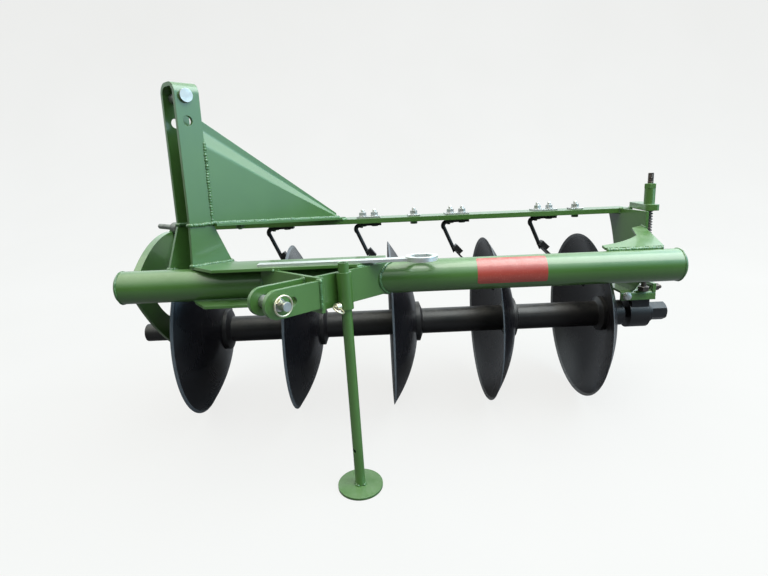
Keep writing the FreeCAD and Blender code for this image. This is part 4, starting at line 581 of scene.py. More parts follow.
def metal(name, fresh, dull, gloss, patches, rub_to):
    """Metal whose tone and roughness wander together; edges are rubbed to another tone."""
    material, tree = new_material(name)
    place = object_place(tree)
    edge = use_group(tree, edge_rub,
                     {"Place": place, "Radius": METAL_EDGE, "Breakup": METAL_BREAKUP})
    skin = use_group(tree, spray_skin, {"Place": place, "Peel": METAL_GRAIN, "Patches": patches})
    dust = use_group(tree, settled_dust, {"Place": place, "Amount": 0.25, "Size": 70.0})["Dust"]
    crystals = add(tree, "ShaderNodeTexVoronoi",
                   {"Vector": place, "Scale": patches * CRYSTALS_TO_PATCHES}).outputs["Color"]
    shade = math_node(tree, "MULTIPLY_ADD", crystals, CRYSTAL_SHARE, skin["Tone"], clamp=True)
    rubbed = blend_colours(tree, edge["Rubbed"], blend_colours(tree, shade, fresh, dull), rub_to)
    rough = math_node(tree, "MULTIPLY_ADD", dust, METAL_DUST_DULLS,
                      spread(tree, shade, 0, 1, *gloss))
    shader = add(tree, "ShaderNodeBsdfPrincipled",
                 {"Base Color": blend_colours(tree, dust, rubbed, PALE_DUST), "Metallic": 0.9,
                  "Roughness": rough,
                  "Normal": raised(tree, skin["Height"], edge["Normal"], 0.15, 0.0001)})
    close_shader(tree, shader)
    print(name, "has", len(tree.nodes), "nodes")
    return material


# %% [markdown]
# ## The five metals
# Each metal is a fresh tone, a dull tone, how glossy and how rough it gets, how large its patches
# are, and what its edges are rubbed to. Reading them side by side makes it easy to keep them
# apart: the brightest is the spanner, the darkest the spring.

# %% Plate and oil the steel
finishes["zinc"] = metal(
    "zinc_plate", fresh=(0.56, 0.56, 0.55, 1), dull=(0.36, 0.355, 0.34, 1), gloss=(0.28, 0.48),
    patches=40.0, rub_to=(0.66, 0.66, 0.64, 1))
finishes["lynch_steel"] = metal(
    "yellow_plate", fresh=(0.80, 0.70, 0.46, 1), dull=(0.66, 0.60, 0.45, 1), gloss=(0.25, 0.40),
    patches=60.0, rub_to=(0.85, 0.82, 0.72, 1))
finishes["dark_steel"] = metal(
    "oiled_steel", fresh=(0.13, 0.10, 0.085, 1), dull=(0.065, 0.055, 0.05, 1), gloss=(0.40, 0.60),
    patches=50.0, rub_to=(0.30, 0.26, 0.23, 1))
bright_plate = metal(
    "bright_plate", fresh=(0.82, 0.83, 0.80, 1), dull=(0.66, 0.67, 0.65, 1), gloss=(0.30, 0.46),
    patches=40.0, rub_to=(0.88, 0.88, 0.86, 1))
dull_plate = metal(
    "dull_plate", fresh=(0.24, 0.25, 0.22, 1), dull=(0.15, 0.155, 0.14, 1), gloss=(0.36, 0.52),
    patches=40.0, rub_to=(0.40, 0.40, 0.38, 1))

# %% [markdown]
# ## Dressing the CAD pieces
# The CAD record already says which material slot each piece belongs to, so a loop gives each one
# the finish of its slot, and no piece can be forgotten. Only two pieces have a finish of their
# own.

# %% Give each piece its finish
own_finish = {"gang_spanner": bright_plate, "left_link_pin": dull_plate}
for part in record["subparts"]:
    piece = nodes[part["node"]]
    piece.data.materials.clear()
    piece.data.materials.append(own_finish.get(part["node"], finishes[part["material_slot"]]))
print("finishes on", len(record["subparts"]), "CAD nodes:", sorted(finishes))

# %% [markdown]
# ## Handing a made piece to the plough
# Every new piece ends the same way: its doubles are merged, its faces turned outwards, it is
# given a finish and told which body it rides on. Doing this by hand for each piece is how one
# gets forgotten, so one helper does it all and says how big the piece is.

# %% Keep a piece
DOUBLES_WITHIN = 1e-6


def keep(name, mesh, body, slot_name, finish=None, smooth_below=None):
    """Clean a mesh, give it its finish, and hand it to a body."""
    shape = bmesh.new()
    shape.from_mesh(mesh)
    bmesh.ops.remove_doubles(shape, verts=shape.verts, dist=DOUBLES_WITHIN)
    bmesh.ops.recalc_face_normals(shape, faces=shape.faces)
    shape.to_mesh(mesh)
    shape.free()
    mesh.materials.clear()
    mesh.materials.append(finish or finishes[slot_name])
    piece = link(name, mesh)
    if smooth_below is not None:
        mesh.shade_smooth()
        mesh.set_sharp_from_angle(angle=math.radians(smooth_below))
    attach(piece, body)
    print(name, "has", sum(len(face.vertices) - 2 for face in mesh.polygons), "triangles")
    return piece


# %% [markdown]
# ## Growing a piece from a node tree
# What repeats or follows a line is best grown by Geometry Nodes: change one size and every copy
# follows. But an export to other programs knows meshes and nothing of node trees. So a piece is
# grown on a throw-away object, and only the finished mesh is kept. Inputs are set by the socket's
# identifier, because that stays the same when a label is reworded.

# %% Start, end and run a tree
def start_tree(name, takes):
    """New Geometry Nodes tree with a geometry in, named inputs, and a geometry out."""
    tree = bpy.data.node_groups.new(name, "GeometryNodeTree")
    tree.interface.new_socket(name="Geometry", in_out="INPUT", socket_type="NodeSocketGeometry")
    for label, kind, value in takes:
        socket = tree.interface.new_socket(name=label, in_out="INPUT",
                                           socket_type="NodeSocket" + kind)
        if value is not None:
            socket.default_value = value
    tree.interface.new_socket(name="Finish", in_out="INPUT", socket_type="NodeSocketMaterial")
    tree.interface.new_socket(name="Geometry", in_out="OUTPUT", socket_type="NodeSocketGeometry")
    return tree, tree.nodes.new("NodeGroupInput").outputs, tree.nodes.new("NodeGroupOutput").inputs


def end_tree(tree, takes, gives, geometry):
    """Close a tree: real geometry, with its material."""
    real = add(tree, "GeometryNodeRealizeInstances", {0: geometry}).outputs[0]
    painted = add(tree, "GeometryNodeSetMaterial", {"Geometry": real, "Material": takes["Finish"]})
    tree.links.new(painted.outputs[0], gives["Geometry"])


def grow(name, mesh, tree, sizes, body, slot_name="green_paint", finish=None, smooth_below=None):
    """Run a tree over a mesh and keep the result as a plain mesh."""
    seed = link(name + "_seed", mesh)
    modifier = seed.modifiers.new("grow", "NODES")
    modifier.node_group = tree
    values = dict(sizes, Finish=finish or finishes[slot_name])
    for item in tree.interface.items_tree:
        if item.item_type == "SOCKET" and item.in_out == "INPUT" and item.name in values:
            modifier[item.identifier] = values[item.name]
    bpy.context.view_layer.update()
    ready = seed.evaluated_get(bpy.context.evaluated_depsgraph_get())
    grown = bpy.data.meshes.new_from_object(ready)
    bpy.data.objects.remove(seed)
    return keep(name, grown, body, slot_name, finish, smooth_below)


# %% [markdown]
# ## Weld beads
# The frame is plate and tube joined by hand-laid fillet welds, and their ripples catch the light
# at every joint. A bead could be modelled along hand-drawn lines, but the lines already exist:
# wherever a sharp edge of one piece lies on the skin of another, a welder laid metal. So the
# script walks the edges of each welded pair in short steps, and keeps the steps that touch.

# %% Find the seams of a welded pair
TOUCH = 1.0 * MM
STEP = 4.0 * MM
SHARP = math.radians(25)
shapes = {}


def merged(node):
    """CAD node as a merged copy with a search tree, kept for later use."""
    if node not in shapes:
        shape = bmesh.new()
        shape.from_mesh(nodes[node].data)
        bmesh.ops.remove_doubles(shape, verts=shape.verts, dist=DOUBLES_WITHIN)
        shapes[node] = (shape, BVHTree.FromBMesh(shape))
    return shapes[node]


def seams(owner, other):
    """Short lines along the sharp edges of one piece where they touch another."""
    skin = merged(other)[1]
    found = []
    for edge in merged(owner)[0].edges:
        if len(edge.link_faces) != 2 or edge.calc_face_angle() < SHARP:
            continue
        start, end = (vertex.co for vertex in edge.verts)
        parts = max(1, math.ceil((end - start).length / STEP))
        points = [start.lerp(end, part / parts) for part in range(parts + 1)]
        near = [skin.find_nearest(point, TOUCH)[0] is not None for point in points]
        for part in range(parts):
            if near[part] and near[part + 1]:
                found.append((points[part], points[part + 1]))
    return found


print("a seam is a sharp edge within", TOUCH / MM, "mm of the other piece")

# %% [markdown]
# ## Joining the steps into seams
# The steps come as loose scraps, some only a few millimetres long where two pieces just brush. No
# welder starts a bead that short. So steps that share an end are joined, each run is measured,
# and the short runs are dropped before any metal is laid.

# %% Join steps and drop the short runs
SHORTEST_SEAM = 10 * MM
JOIN_WITHIN = 0.4 * MM


def seam_mesh(name, pairs):
    """All seams of some pairs as one mesh of edges; loose scraps are left out."""
    shape = bmesh.new()
    for owner, other in pairs:
        for start, end in seams(owner, other):
            shape.edges.new((shape.verts.new(start), shape.verts.new(end)))
    bmesh.ops.remove_doubles(shape, verts=shape.verts, dist=JOIN_WITHIN)
    waiting = set(shape.verts)
    scraps = []
    while waiting:
        group = [waiting.pop()]
        for vertex in group:
            for edge in vertex.link_edges:
                far = edge.other_vert(vertex)
                if far in waiting:
                    waiting.remove(far)
                    group.append(far)
        length = sum(edge.calc_length() for vertex in group for edge in vertex.link_edges) / 2
        if length < SHORTEST_SEAM:
            scraps += group
    bmesh.ops.delete(shape, geom=scraps, context="VERTS")
    total = sum(edge.calc_length() for edge in shape.edges)
    mesh = bpy.data.meshes.new(name)
    shape.to_mesh(mesh)
    shape.free()
    print(name, "runs for", round(total, 2), "m")
    return mesh


print("seams under", SHORTEST_SEAM / MM, "mm are dropped")

# %% [markdown]
# ## A rippled bead
# A bead is a row of frozen puddles: each dab of the torch leaves a ripple, the bead swells where
# the hand lingered, and it strays a little from the joint. A plain round sweep would look like
# piped icing. This tree steps along the seam, sets the swell from a wave and a noise, nudges the
# line, and then sweeps a round section along it. Its five inputs are what a welder would change.

# %% Node tree: a rippled bead
BEAD_STEP = 0.0014
BEAD_NOISE = 95.0
weld_bead, takes, gives = start_tree("weld_bead", [
    ("Thickness", "Float", 0.0030), ("Pitch", "Float", 0.0055), ("Ripple", "Float", 0.42),
    ("Wander", "Float", 0.0009), ("Seed", "Float", 3.0)])
line = add(weld_bead, "GeometryNodeMeshToCurve", {0: takes["Geometry"]}).outputs[0]
fine = add(weld_bead, "GeometryNodeResampleCurve", {"Curve": line, "Length": BEAD_STEP},
           mode="LENGTH").outputs[0]
along = add(weld_bead, "GeometryNodeSplineParameter").outputs["Length"]
half_turns = math_node(weld_bead, "MULTIPLY", along, math.pi)
turns = math_node(weld_bead, "DIVIDE", half_turns, takes["Pitch"])
wave = math_node(weld_bead, "ABSOLUTE", math_node(weld_bead, "SINE", turns))
spot = add(weld_bead, "GeometryNodeInputPosition").outputs[0]
uneven = add(weld_bead, "ShaderNodeTexNoise",
             {"Vector": spot, "W": takes["Seed"], "Scale": BEAD_NOISE, "Detail": 2.0},
             noise_dimensions="4D")
lingered = spread(weld_bead, uneven.outputs["Fac"], 0.3, 0.7, 0.70, 0.98)
swell = math_node(weld_bead, "MULTIPLY_ADD", wave, takes["Ripple"], lingered)
shift = add(weld_bead, "ShaderNodeVectorMath", {0: uneven.outputs["Color"], 1: (0.5, 0.5, 0.5)},
            operation="SUBTRACT").outputs[0]
reach = math_node(weld_bead, "MULTIPLY", takes["Wander"], 4.0)
nudge = add(weld_bead, "ShaderNodeVectorMath", {0: shift, "Scale": reach},
            operation="SCALE").outputs[0]
laid = add(weld_bead, "GeometryNodeSetPosition", {"Geometry": fine, "Offset": nudge}).outputs[0]
round_section = add(weld_bead, "GeometryNodeCurvePrimitiveCircle",
                    {"Resolution": 8, "Radius": takes["Thickness"]}).outputs[0]
bead = add(weld_bead, "GeometryNodeCurveToMesh",
           {"Curve": laid, "Profile Curve": round_section, "Scale": swell,
            "Fill Caps": True}).outputs[0]
end_tree(weld_bead, takes, gives, bead)
print(weld_bead.name, "has", len(weld_bead.nodes), "nodes")

# %% [markdown]
# ## Laying the beads
# Beads are laid in the order of a real shop. The mast and the hitch carry the pull, so theirs are
# the thickest; the side plates come next, and the caps of the tube get a thin run. One table says
# which pieces meet and how heavy the bead is, and each row becomes one piece on one body. The
# foot of the stand has a row of its own, because its bead must slide with the stand.

# %% Lay the beads
BEAD_SMOOTH = 80
WELDS = [
    ("mast_welds", "mast_seams", "frame", {"Thickness": 0.0036}, [
        ("mast_foot_right", "main_tube"), ("mast_foot_right", "hitch_plate"),
        ("mast_foot_right", "mast"), ("mast_foot_left", "main_tube"),
        ("mast_foot_left", "hitch_plate"), ("mast_foot_left", "mast"),
        ("mast_gusset", "mast"), ("mast_gusset", "gusset_strip"), ("gusset_strip", "mast"),
        ("gusset_strip", "rear_beam")]),
    ("hitch_welds", "hitch_seams", "frame",
     {"Thickness": 0.0034, "Ripple": 0.20, "Pitch": 0.0045, "Seed": 4.0}, [
        ("hitch_plate", "main_tube"), ("hitch_bracket", "main_tube"),
        ("hitch_bracket", "hitch_plate"),
        ("hitch_under_plate", "main_tube"), ("hitch_under_plate", "hitch_bracket"),
        ("clevis_ear_inner", "hitch_bracket"), ("clevis_ear_outer", "hitch_bracket"),
        ("stand_sleeve", "hitch_bracket")]),
    ("end_welds", "light_seams", "frame", {"Thickness": 0.0026, "Seed": 5.0}, [
        ("side_plate_left", "main_tube"), ("side_plate_left", "rear_beam"),
        ("side_plate_right", "main_tube"), ("side_plate_right", "rear_beam"),
        ("corner_gusset", "main_tube"), ("corner_gusset", "side_plate_right"),
        ("bearing_left", "side_plate_left"), ("bearing_hood", "side_plate_right"),
        ("tail_plate", "rear_beam"), ("tail_plate", "side_plate_right")]),
    ("cap_welds", "cap_seams", "frame", {"Thickness": 0.0014, "Pitch": 0.0040, "Seed": 7.0}, [
        ("tube_caps", "main_tube")]),
    ("stand_weld", "stand_seams", "stand", {"Thickness": 0.0022, "Seed": 8.0}, [
        ("stand_leg", "stand_foot"), ("stand_foot", "stand_leg")]),
]
for name, line_name, body, sizes, pairs in WELDS:
    grow(name, seam_mesh(line_name, pairs), weld_bead, sizes, body, finish=finishes["weld"],
         smooth_below=BEAD_SMOOTH)

# %% [markdown]
# ## A bead that fills a gap
# The corner gusset doesn't quite reach the tube: its front edge stands a couple of millimetres
# over the curve, and the welder filled the space with one thick, uneven run. There is no edge
# that touches here, so the search finds nothing, and this one line is drawn from left to right
# instead.

# %% Fill under the corner gusset
GUSSET_LEFT, GUSSET_RIGHT = 452, 572
GUSSET_FRONT_Y, GUSSET_FRONT_Z = -210.0, 195.4
FILL_STEPS = 24
fill = [on_plough(GUSSET_LEFT + (GUSSET_RIGHT - GUSSET_LEFT) * step / FILL_STEPS,
                  GUSSET_FRONT_Y, GUSSET_FRONT_Z) for step in range(FILL_STEPS + 1)]
fill_mesh = bpy.data.meshes.new("gusset_fill")
fill_mesh.from_pydata(fill, [(step, step + 1) for step in range(FILL_STEPS)], [])
grow("gusset_fill_weld", fill_mesh, weld_bead,
     {"Thickness": 0.0044, "Ripple": 0.34, "Wander": 0.0013, "Seed": 9.0}, "frame",
     finish=finishes["weld"], smooth_below=BEAD_SMOOTH)

# %% [markdown]
# ## Turning small shapes
# Bolts, nuts, washers and grease nipples are all turned shapes: rings stacked up an axis. A
# hexagon is the same with its rings pulled out to the corners, and the chamfer of a nut is a ring
# whose corners dip. Bought-in bolt models carry far more faces than can be seen here, so each
# shape is made from a short list of rings.

# %% Turn a shape from rings
CHAMFER = 0.96
CHAMFER_DEPTH = 0.55


def turned(name, rings, sides=24):
    """Closed shape from rings up Z, in millimetres; a hexagon's radius is half its width across
    flats, and 'crown' and 'foot' rings dip or lift at the corners."""
    shape = bmesh.new()
    loops = []
    for kind, radius, z in rings:
        loop = []
        for step in range(sides):
            angle = 2 * math.pi * step / sides
            corner = radius / math.cos((angle + math.pi / 6) % (math.pi / 3) - math.pi / 6)
            reach = radius if kind == "round" else corner
            drop = (corner - radius * CHAMFER) * CHAMFER_DEPTH if kind == "crown" else 0.0
            lift = (corner - radius * CHAMFER) * CHAMFER_DEPTH if kind == "foot" else 0.0
            loop.append(shape.verts.new((reach * math.cos(angle) * MM, reach * math.sin(angle) * MM,
                                         (z - drop + lift) * MM)))
        loops.append(loop)
    for below, above in zip(loops, loops[1:]):
        for step in range(sides):
            after = (step + 1) % sides
            shape.faces.new((below[step], below[after], above[after], above[step]))
    shape.faces.new(list(reversed(loops[0])))
    shape.faces.new(loops[-1])
    mesh = bpy.data.meshes.new(name)
    shape.to_mesh(mesh)
    shape.free()
    return mesh


print("a hexagon's faces are chamfered to", CHAMFER, "of its width across flats")

# %% [markdown]
# ## Hexagons, studs and washers
# A nut on its stud is a washer, a hexagon and a few thread crests in one stack. Each of the three
# is a small list of rings, and adding the lists together gives the whole fastener as one closed
# skin, which needs no joining afterwards.

# %% The fasteners
THREAD_ROOT, THREAD_TIP = 0.45, 0.9
BROKEN_EDGE = 0.3


def hexed(half_width, low, high):
    """Rings of a hexagon whose two faces are chamfered."""
    return [("round", half_width * CHAMFER, low), ("foot", half_width, low),
            ("crown", half_width, high), ("round", half_width * CHAMFER, high)]


def threaded(radius, low, high, pitch):
    """Rings of a short stud with thread crests and a chamfered tip."""
    rings = []
    z = low
    while z < high - pitch:
        rings += [("round", radius - THREAD_ROOT * pitch, z), ("round", radius, z + pitch / 2)]
        z += pitch
    return rings + [("round", radius - THREAD_ROOT * pitch, z),
                    ("round", radius - THREAD_TIP * pitch, high)]


def washer(radius, thick):
    """Rings of a plain washer with broken edges."""
    return [("round", radius - BROKEN_EDGE, 0.0), ("round", radius, BROKEN_EDGE),
            ("round", radius, thick - BROKEN_EDGE), ("round", radius - BROKEN_EDGE, thick)]


nut_on_stud = turned("nut_on_stud",
                     washer(10.0, 2.0) + hexed(8.0, 2.0, 10.0) + threaded(4.9, 10.0, 17.5, 1.5))
bolt_head = turned("bolt_head", washer(10.0, 1.8) + hexed(8.0, 1.8, 8.4))
dark_nut = turned("dark_nut", hexed(8.5, 0.0, 7.5) + threaded(5.0, 7.5, 11.0, 1.5))
nipple = turned("nipple", hexed(4.0, 0.0, 3.0) + [("round", 2.2, 3.0), ("round", 1.7, 6.0),
                                                 ("round", 2.4, 7.2), ("round", 2.2, 8.6),
                                                 ("round", 0.9, 9.4)])
small_shapes = (bolt_head, nut_on_stud, dark_nut, nipple)
print("small shapes:", [(mesh.name, len(mesh.polygons)) for mesh in small_shapes])

# %% [markdown]
# ## Finding a bolt's seat
# A bolt placed by its three coordinates floats or sinks as soon as the plate under it changes. So
# only its place on the face is given. A line is dropped from above, and the bolt sits where the
# line meets the metal. If it meets nothing, the script stops, for a bolt in the air is a mistake.

# %% Drop a line on to the metal
SEARCH_DEPTH = 0.4


def seat(start, direction, *names):
    """Where a line from a point first meets one of the named nodes."""
    hits = [merged(name)[1].ray_cast(start, direction, SEARCH_DEPTH) for name in names]
    met = [(distance, place) for place, _, _, distance in hits if place is not None]
    if not met:
        raise ValueError("a bolt has no metal under it")
    return min(met)[1]


print("seats are searched for down to", SEARCH_DEPTH, "m")

# %% [markdown]
# ## Setting a shape on every seat
# The seats are the points of a tiny mesh, and each point carries which way its bolt faces. A node
# tree sets a copy on each of them and spins it by a random angle, since no two hexagons ever line
# up. Placing each bolt as an object of its own would work too, but one tree keeps a whole row as
# one piece. The seed is fixed, so the row looks the same on every run.

# %% Node tree: set a shape on every point
SIXTH_OF_A_TURN = 1.05
FASTENER_SMOOTH = 35
set_shapes, takes, gives = start_tree("set_shapes", [("Shape", "Object", None), ("Seed", "Int", 5)])
facing = add(set_shapes, "GeometryNodeInputNamedAttribute", {"Name": "facing"},
             data_type="FLOAT_VECTOR")
stood = add(set_shapes, "FunctionNodeAlignRotationToVector", {"Vector": facing.outputs[0]},
            axis="Z").outputs[0]
angle = add(set_shapes, "FunctionNodeRandomValue",
            {2: 0.0, 3: SIXTH_OF_A_TURN, "Seed": takes["Seed"]}, data_type="FLOAT").outputs[1]
spin = add(set_shapes, "FunctionNodeAxisAngleToRotation",
           {"Axis": (0.0, 0.0, 1.0), "Angle": angle}).outputs[0]
turned_round = add(set_shapes, "FunctionNodeRotateRotation", {"Rotation": stood, "Rotate By": spin},
                   rotation_space="LOCAL").outputs[0]
shape = add(set_shapes, "GeometryNodeObjectInfo", {"Object": takes["Shape"]}).outputs["Geometry"]
copies = add(set_shapes, "GeometryNodeInstanceOnPoints",
             {"Points": takes["Geometry"], "Instance": shape, "Rotation": turned_round}).outputs[0]
end_tree(set_shapes, takes, gives, copies)


def set_on(name, master, places, body, slot_name, finish=None):
    """Copies of a turned shape on (point, direction) places, as one piece."""
    mesh = bpy.data.meshes.new(name + "_points")
    mesh.from_pydata([point for point, direction in places], [], [])
    facing = mesh.attributes.new("facing", "FLOAT_VECTOR", "POINT")
    for number, (point, direction) in enumerate(places):
        facing.data[number].vector = direction
    pattern = link(master.name + "_pattern", master)
    piece = grow(name, mesh, set_shapes, {"Shape": pattern}, body, slot_name, finish,
                 FASTENER_SMOOTH)
    bpy.data.objects.remove(pattern)
    return piece


print(set_shapes.name, "has", len(set_shapes.nodes), "nodes")

# %% [markdown]
# ## Bolts through the beam
# Each scraper hangs in a clamp whose two bolts come up through the rear beam, with a nut on top
# and a head below. Two more bolts stand alone, each on a small square plate. Sizes are in
# millimetres along the beam, and the same list of places gives the nuts and the heads, so they
# can't miss each other.

# %% Nuts, heads and square plates
CLAMP_CENTRES = [-499, -272, -45, 182, 409]
PAIR_REACH = 15
SINGLE_BOLTS = [72, 492]
BEAM_MIDDLE = 75
OVER_BEAM, UNDER_BEAM = 330, 180
DOWN, UP = way(0, 0, -1), way(0, 0, 1)
beam_bolts = [centre + side * PAIR_REACH for centre in CLAMP_CENTRES for side in (-1, 1)]
BEAM_STACK = ("rear_beam", "scraper_clamp_plates", "scraper_clamp_pads")
tops = [(seat(on_plough(x, BEAM_MIDDLE, OVER_BEAM), DOWN, *BEAM_STACK), UP) for x in beam_bolts]
undersides = [(seat(on_plough(x, BEAM_MIDDLE, UNDER_BEAM), UP, *BEAM_STACK), DOWN)
              for x in beam_bolts + SINGLE_BOLTS]
PLATE_SIDE, PLATE_THICK, PLATE_EDGE = 32, 4.0, 0.7
square_plates = bmesh.new()
for x in SINGLE_BOLTS:
    beam_top = seat(on_plough(x, BEAM_MIDDLE, OVER_BEAM), DOWN, "rear_beam")
    block = bmesh.ops.create_cube(square_plates, size=1.0)["verts"]
    level = Matrix.Translation(beam_top + UP * PLATE_THICK * MM / 2) @ PARK_TILT
    size = Matrix.Diagonal((PLATE_SIDE * MM, PLATE_SIDE * MM, PLATE_THICK * MM, 1))
    bmesh.ops.transform(square_plates, verts=block, matrix=level @ size)
    tops.append((beam_top + UP * PLATE_THICK * MM, UP))
bmesh.ops.bevel(square_plates, geom=square_plates.edges[:], offset=PLATE_EDGE * MM, segments=2,
                affect="EDGES")
plates = bpy.data.meshes.new("square_plates")
square_plates.to_mesh(plates)
square_plates.free()
keep("square_washers", plates, "frame", "zinc", smooth_below=40)
set_on("beam_nuts", nut_on_stud, tops, "frame", "zinc")
set_on("beam_bolt_heads", bolt_head, undersides, "frame", "green_paint")

# %% [markdown]
# ## The odd bolts
# A few fasteners stand alone: a nut under the gusset's strip, a bolt through the hood's cheek,
# two that hold the hood, and the grease nipple on the right bearing. Each has its own place and
# its own direction, so a row would not help. Each is still dropped on to its piece by the same
# search.

# %% Bolts about the hitch and the right bearing
NIPPLE_TILT = (0, -0.55, 0.83)
strip_under = seat(on_hitch(322, -137, 200), UP, "gusset_strip")
cheek_side = seat(on_plough(720, -34, 71), way(-1, 0, 0), "bearing_hood")
hood_front = seat(on_plough(583, -90, 53), way(0, 1, 0), "bearing_hood")
hood_top = seat(on_plough(636, -12, 110), DOWN, "bearing_hood")
housing_front = seat(on_plough(626, -60, 96), -way(*NIPPLE_TILT), "bearing_right")
set_on("strip_nut", dark_nut, [(strip_under, DOWN)], "frame", "green_paint")
set_on("cheek_bolt", nut_on_stud, [(cheek_side, way(1, 0, 0))], "frame", "dark_steel")
set_on("hood_bolts", bolt_head, [(hood_front, way(0, -1, 0)), (hood_top, UP)], "frame", "zinc")
set_on("grease_nipple", nipple, [(housing_front, way(*NIPPLE_TILT))], "frame", "zinc")

# %% [markdown]
# ## Screw threads
# The tail rod is threaded where its nut runs, and the thread shows as fine dark ribs. A bump
# could fake it from afar, but the rod ends stand against the sky where a true outline counts. A
# spiral curve with a small three-sided section gives the real ridge, from its radius, pitch and
# length.

# %% Node tree: a thread ridge
thread_ridge, takes, gives = start_tree("thread_ridge", [
    ("Radius", "Float", 0.006), ("Pitch", "Float", 0.00175), ("Length", "Float", 0.02),
    ("Depth", "Float", 0.0007), ("Place", "Vector", None), ("Turn", "Rotation", None)])
rounds = math_node(thread_ridge, "DIVIDE", takes["Length"], takes["Pitch"])
helix = add(thread_ridge, "GeometryNodeCurveSpiral",
            {"Resolution": 24, "Rotations": rounds, "Start Radius": takes["Radius"],
             "End Radius": takes["Radius"], "Height": takes["Length"]}).outputs[0]
tooth = add(thread_ridge, "GeometryNodeCurvePrimitiveCircle",
            {"Resolution": 3, "Radius": takes["Depth"]}).outputs[0]
ridge = add(thread_ridge, "GeometryNodeCurveToMesh",
            {"Curve": helix, "Profile Curve": tooth, "Fill Caps": True}).outputs[0]
placed = add(thread_ridge, "GeometryNodeTransform",
             {"Geometry": ridge, "Translation": takes["Place"],
              "Rotation": takes["Turn"]}).outputs[0]
end_tree(thread_ridge, takes, gives, placed)


def thread(name, start, direction, radius, length, body, slot_name):
    """Thread ridge round a rod, from a point and a direction; sizes in millimetres."""
    empty = bpy.data.meshes.new(name + "_start")
    turn = direction.to_track_quat("Z", "Y").to_euler()
    return grow(name, empty, thread_ridge,
                {"Radius": radius * MM, "Length": length * MM, "Place": start, "Turn": turn}, body,
                slot_name, smooth_below=60)


print(thread_ridge.name, "has", len(thread_ridge.nodes), "nodes")

# %% [markdown]
# ## The thread on the tail rod
# The tail rod stands up at the right-hand end and carries the spring. Its top is bare and
# threaded, so the spring's nut can be drawn down. Only this free end shows, so only it gets the
# ridge.

# %% Thread the tail rod
TAIL_X, TAIL_Y = 621, -48
THREAD_FOOT, THREAD_RADIUS, THREAD_LENGTH = 325, 6.0, 21
thread("tail_rod_thread", on_plough(TAIL_X, TAIL_Y, THREAD_FOOT), UP, THREAD_RADIUS,
       THREAD_LENGTH, "frame", "dark_steel")

# %% [markdown]
# ## Red vinyl
# The front tube carries a red vinyl sticker, and here it stays blank. Vinyl isn't paint: the
# colour is even, the sun bleaches it in patches, and handling scuffs it in fine pale specks.
# Those specks also dull it, so one noise drives both colour and roughness.

# %% Vinyl
def red_vinyl():
    """Red film, slightly sun-bleached in patches, with fine scuffs."""
    material, tree = new_material("red_vinyl")
    place = object_place(tree)
    skin = use_group(tree, spray_skin, {"Place": place, "Peel": 500.0, "Patches": 16.0})
    dust = use_group(tree, settled_dust, {"Place": place, "Amount": 0.3, "Size": 60.0})["Dust"]
    scuff = add(tree, "ShaderNodeTexNoise",
                {"Vector": place, "Scale": 420.0, "Detail": 5.0}).outputs["Fac"]
    film = blend_colours(tree, skin["Tone"], (0.27, 0.034, 0.022, 1), (0.34, 0.048, 0.032, 1))
    scuffed = math_node(tree, "MULTIPLY", spread(tree, scuff, 0.60, 0.75), 0.35)
    worn = blend_colours(tree, scuffed, film, (0.60, 0.25, 0.20, 1))
    dusty = blend_colours(tree, dust, worn, (0.55, 0.32, 0.27, 1))
    shader = add(tree, "ShaderNodeBsdfPrincipled",
                 {"Base Color": dusty, "Roughness": spread(tree, scuff, 0.3, 0.7, 0.28, 0.42),
                  "Normal": raised(tree, skin["Height"], strength=0.10), "Coat Weight": 0.4,
                  "Coat Roughness": 0.12})
    close_shader(tree, shader)
    return material


vinyl = red_vinyl()
print(vinyl.name, "has", len(vinyl.node_tree.nodes), "nodes")

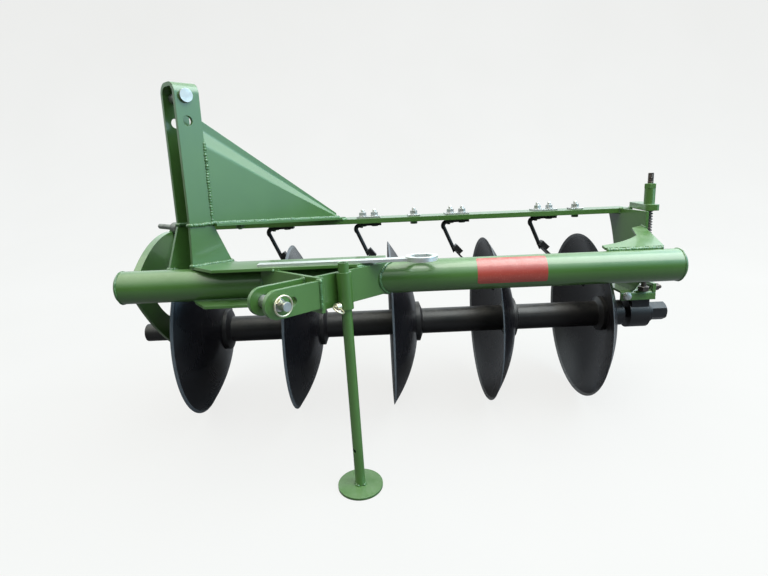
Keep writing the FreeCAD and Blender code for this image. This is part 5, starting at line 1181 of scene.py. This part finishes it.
# %% [markdown]
# ## The blank sticker
# The sticker is a thin sheet that follows the tube, with rounded corners, so it bends the
# highlight just as the tube does. Painting red into the green would be easier, but the film has
# its own gloss and an edge that casts a line. It is built in rows around the tube and columns
# along it, once just over the paint and once a film's thickness higher, and the two are closed
# along their rim.

# %% Lay the sticker on the tube
TUBE_Y, TUBE_Z, TUBE_R = -216, 160, 34
STICKER_LEFT, STICKER_RIGHT = 175, 318
STICKER_LOW, STICKER_HIGH = -30, 72
CORNER = 3.5
GLUE, FILM = 0.05, 0.25


def sticker_mesh(columns=48, rows=20):
    """Thin film wrapped on the tube, with rounded corners; angles are degrees above level."""
    shape = bmesh.new()
    middle = (STICKER_LEFT + STICKER_RIGHT) / 2
    half_long = (STICKER_RIGHT - STICKER_LEFT) / 2
    half_wide = math.radians(STICKER_HIGH - STICKER_LOW) / 2 * TUBE_R
    layers = []
    for lift in (GLUE, FILM):
        grid = []
        for row in range(rows + 1):
            across = (2 * row / rows - 1) * half_wide
            inward = max(0.0, abs(across) - (half_wide - CORNER))
            reach = half_long - CORNER + math.sqrt(max(0.0, CORNER ** 2 - inward ** 2))
            angle = math.radians(STICKER_LOW + STICKER_HIGH) / 2 + across / TUBE_R
            radius = TUBE_R + lift
            grid.append([shape.verts.new(on_plough(middle + reach * (2 * column / columns - 1),
                                                   TUBE_Y - radius * math.cos(angle),
                                                   TUBE_Z + radius * math.sin(angle)))
                         for column in range(columns + 1)])
        layers.append(grid)
    under, over = layers
    for row in range(rows):
        for column in range(columns):
            for grid in layers:
                shape.faces.new((grid[row][column], grid[row][column + 1],
                                 grid[row + 1][column + 1], grid[row + 1][column]))
    rim = [(0, column) for column in range(columns)] + [(row, columns) for row in range(rows)]
    rim += [(rows, columns - column) for column in range(columns)]
    rim += [(rows - row, 0) for row in range(rows)]
    for (row, column), (next_row, next_column) in zip(rim, rim[1:] + rim[:1]):
        shape.faces.new((under[row][column], under[next_row][next_column],
                         over[next_row][next_column], over[row][column]))
    mesh = bpy.data.meshes.new("sticker")
    shape.to_mesh(mesh)
    shape.free()
    return mesh


keep("blank_sticker", sticker_mesh(), "frame", "green_paint", vinyl, smooth_below=50)
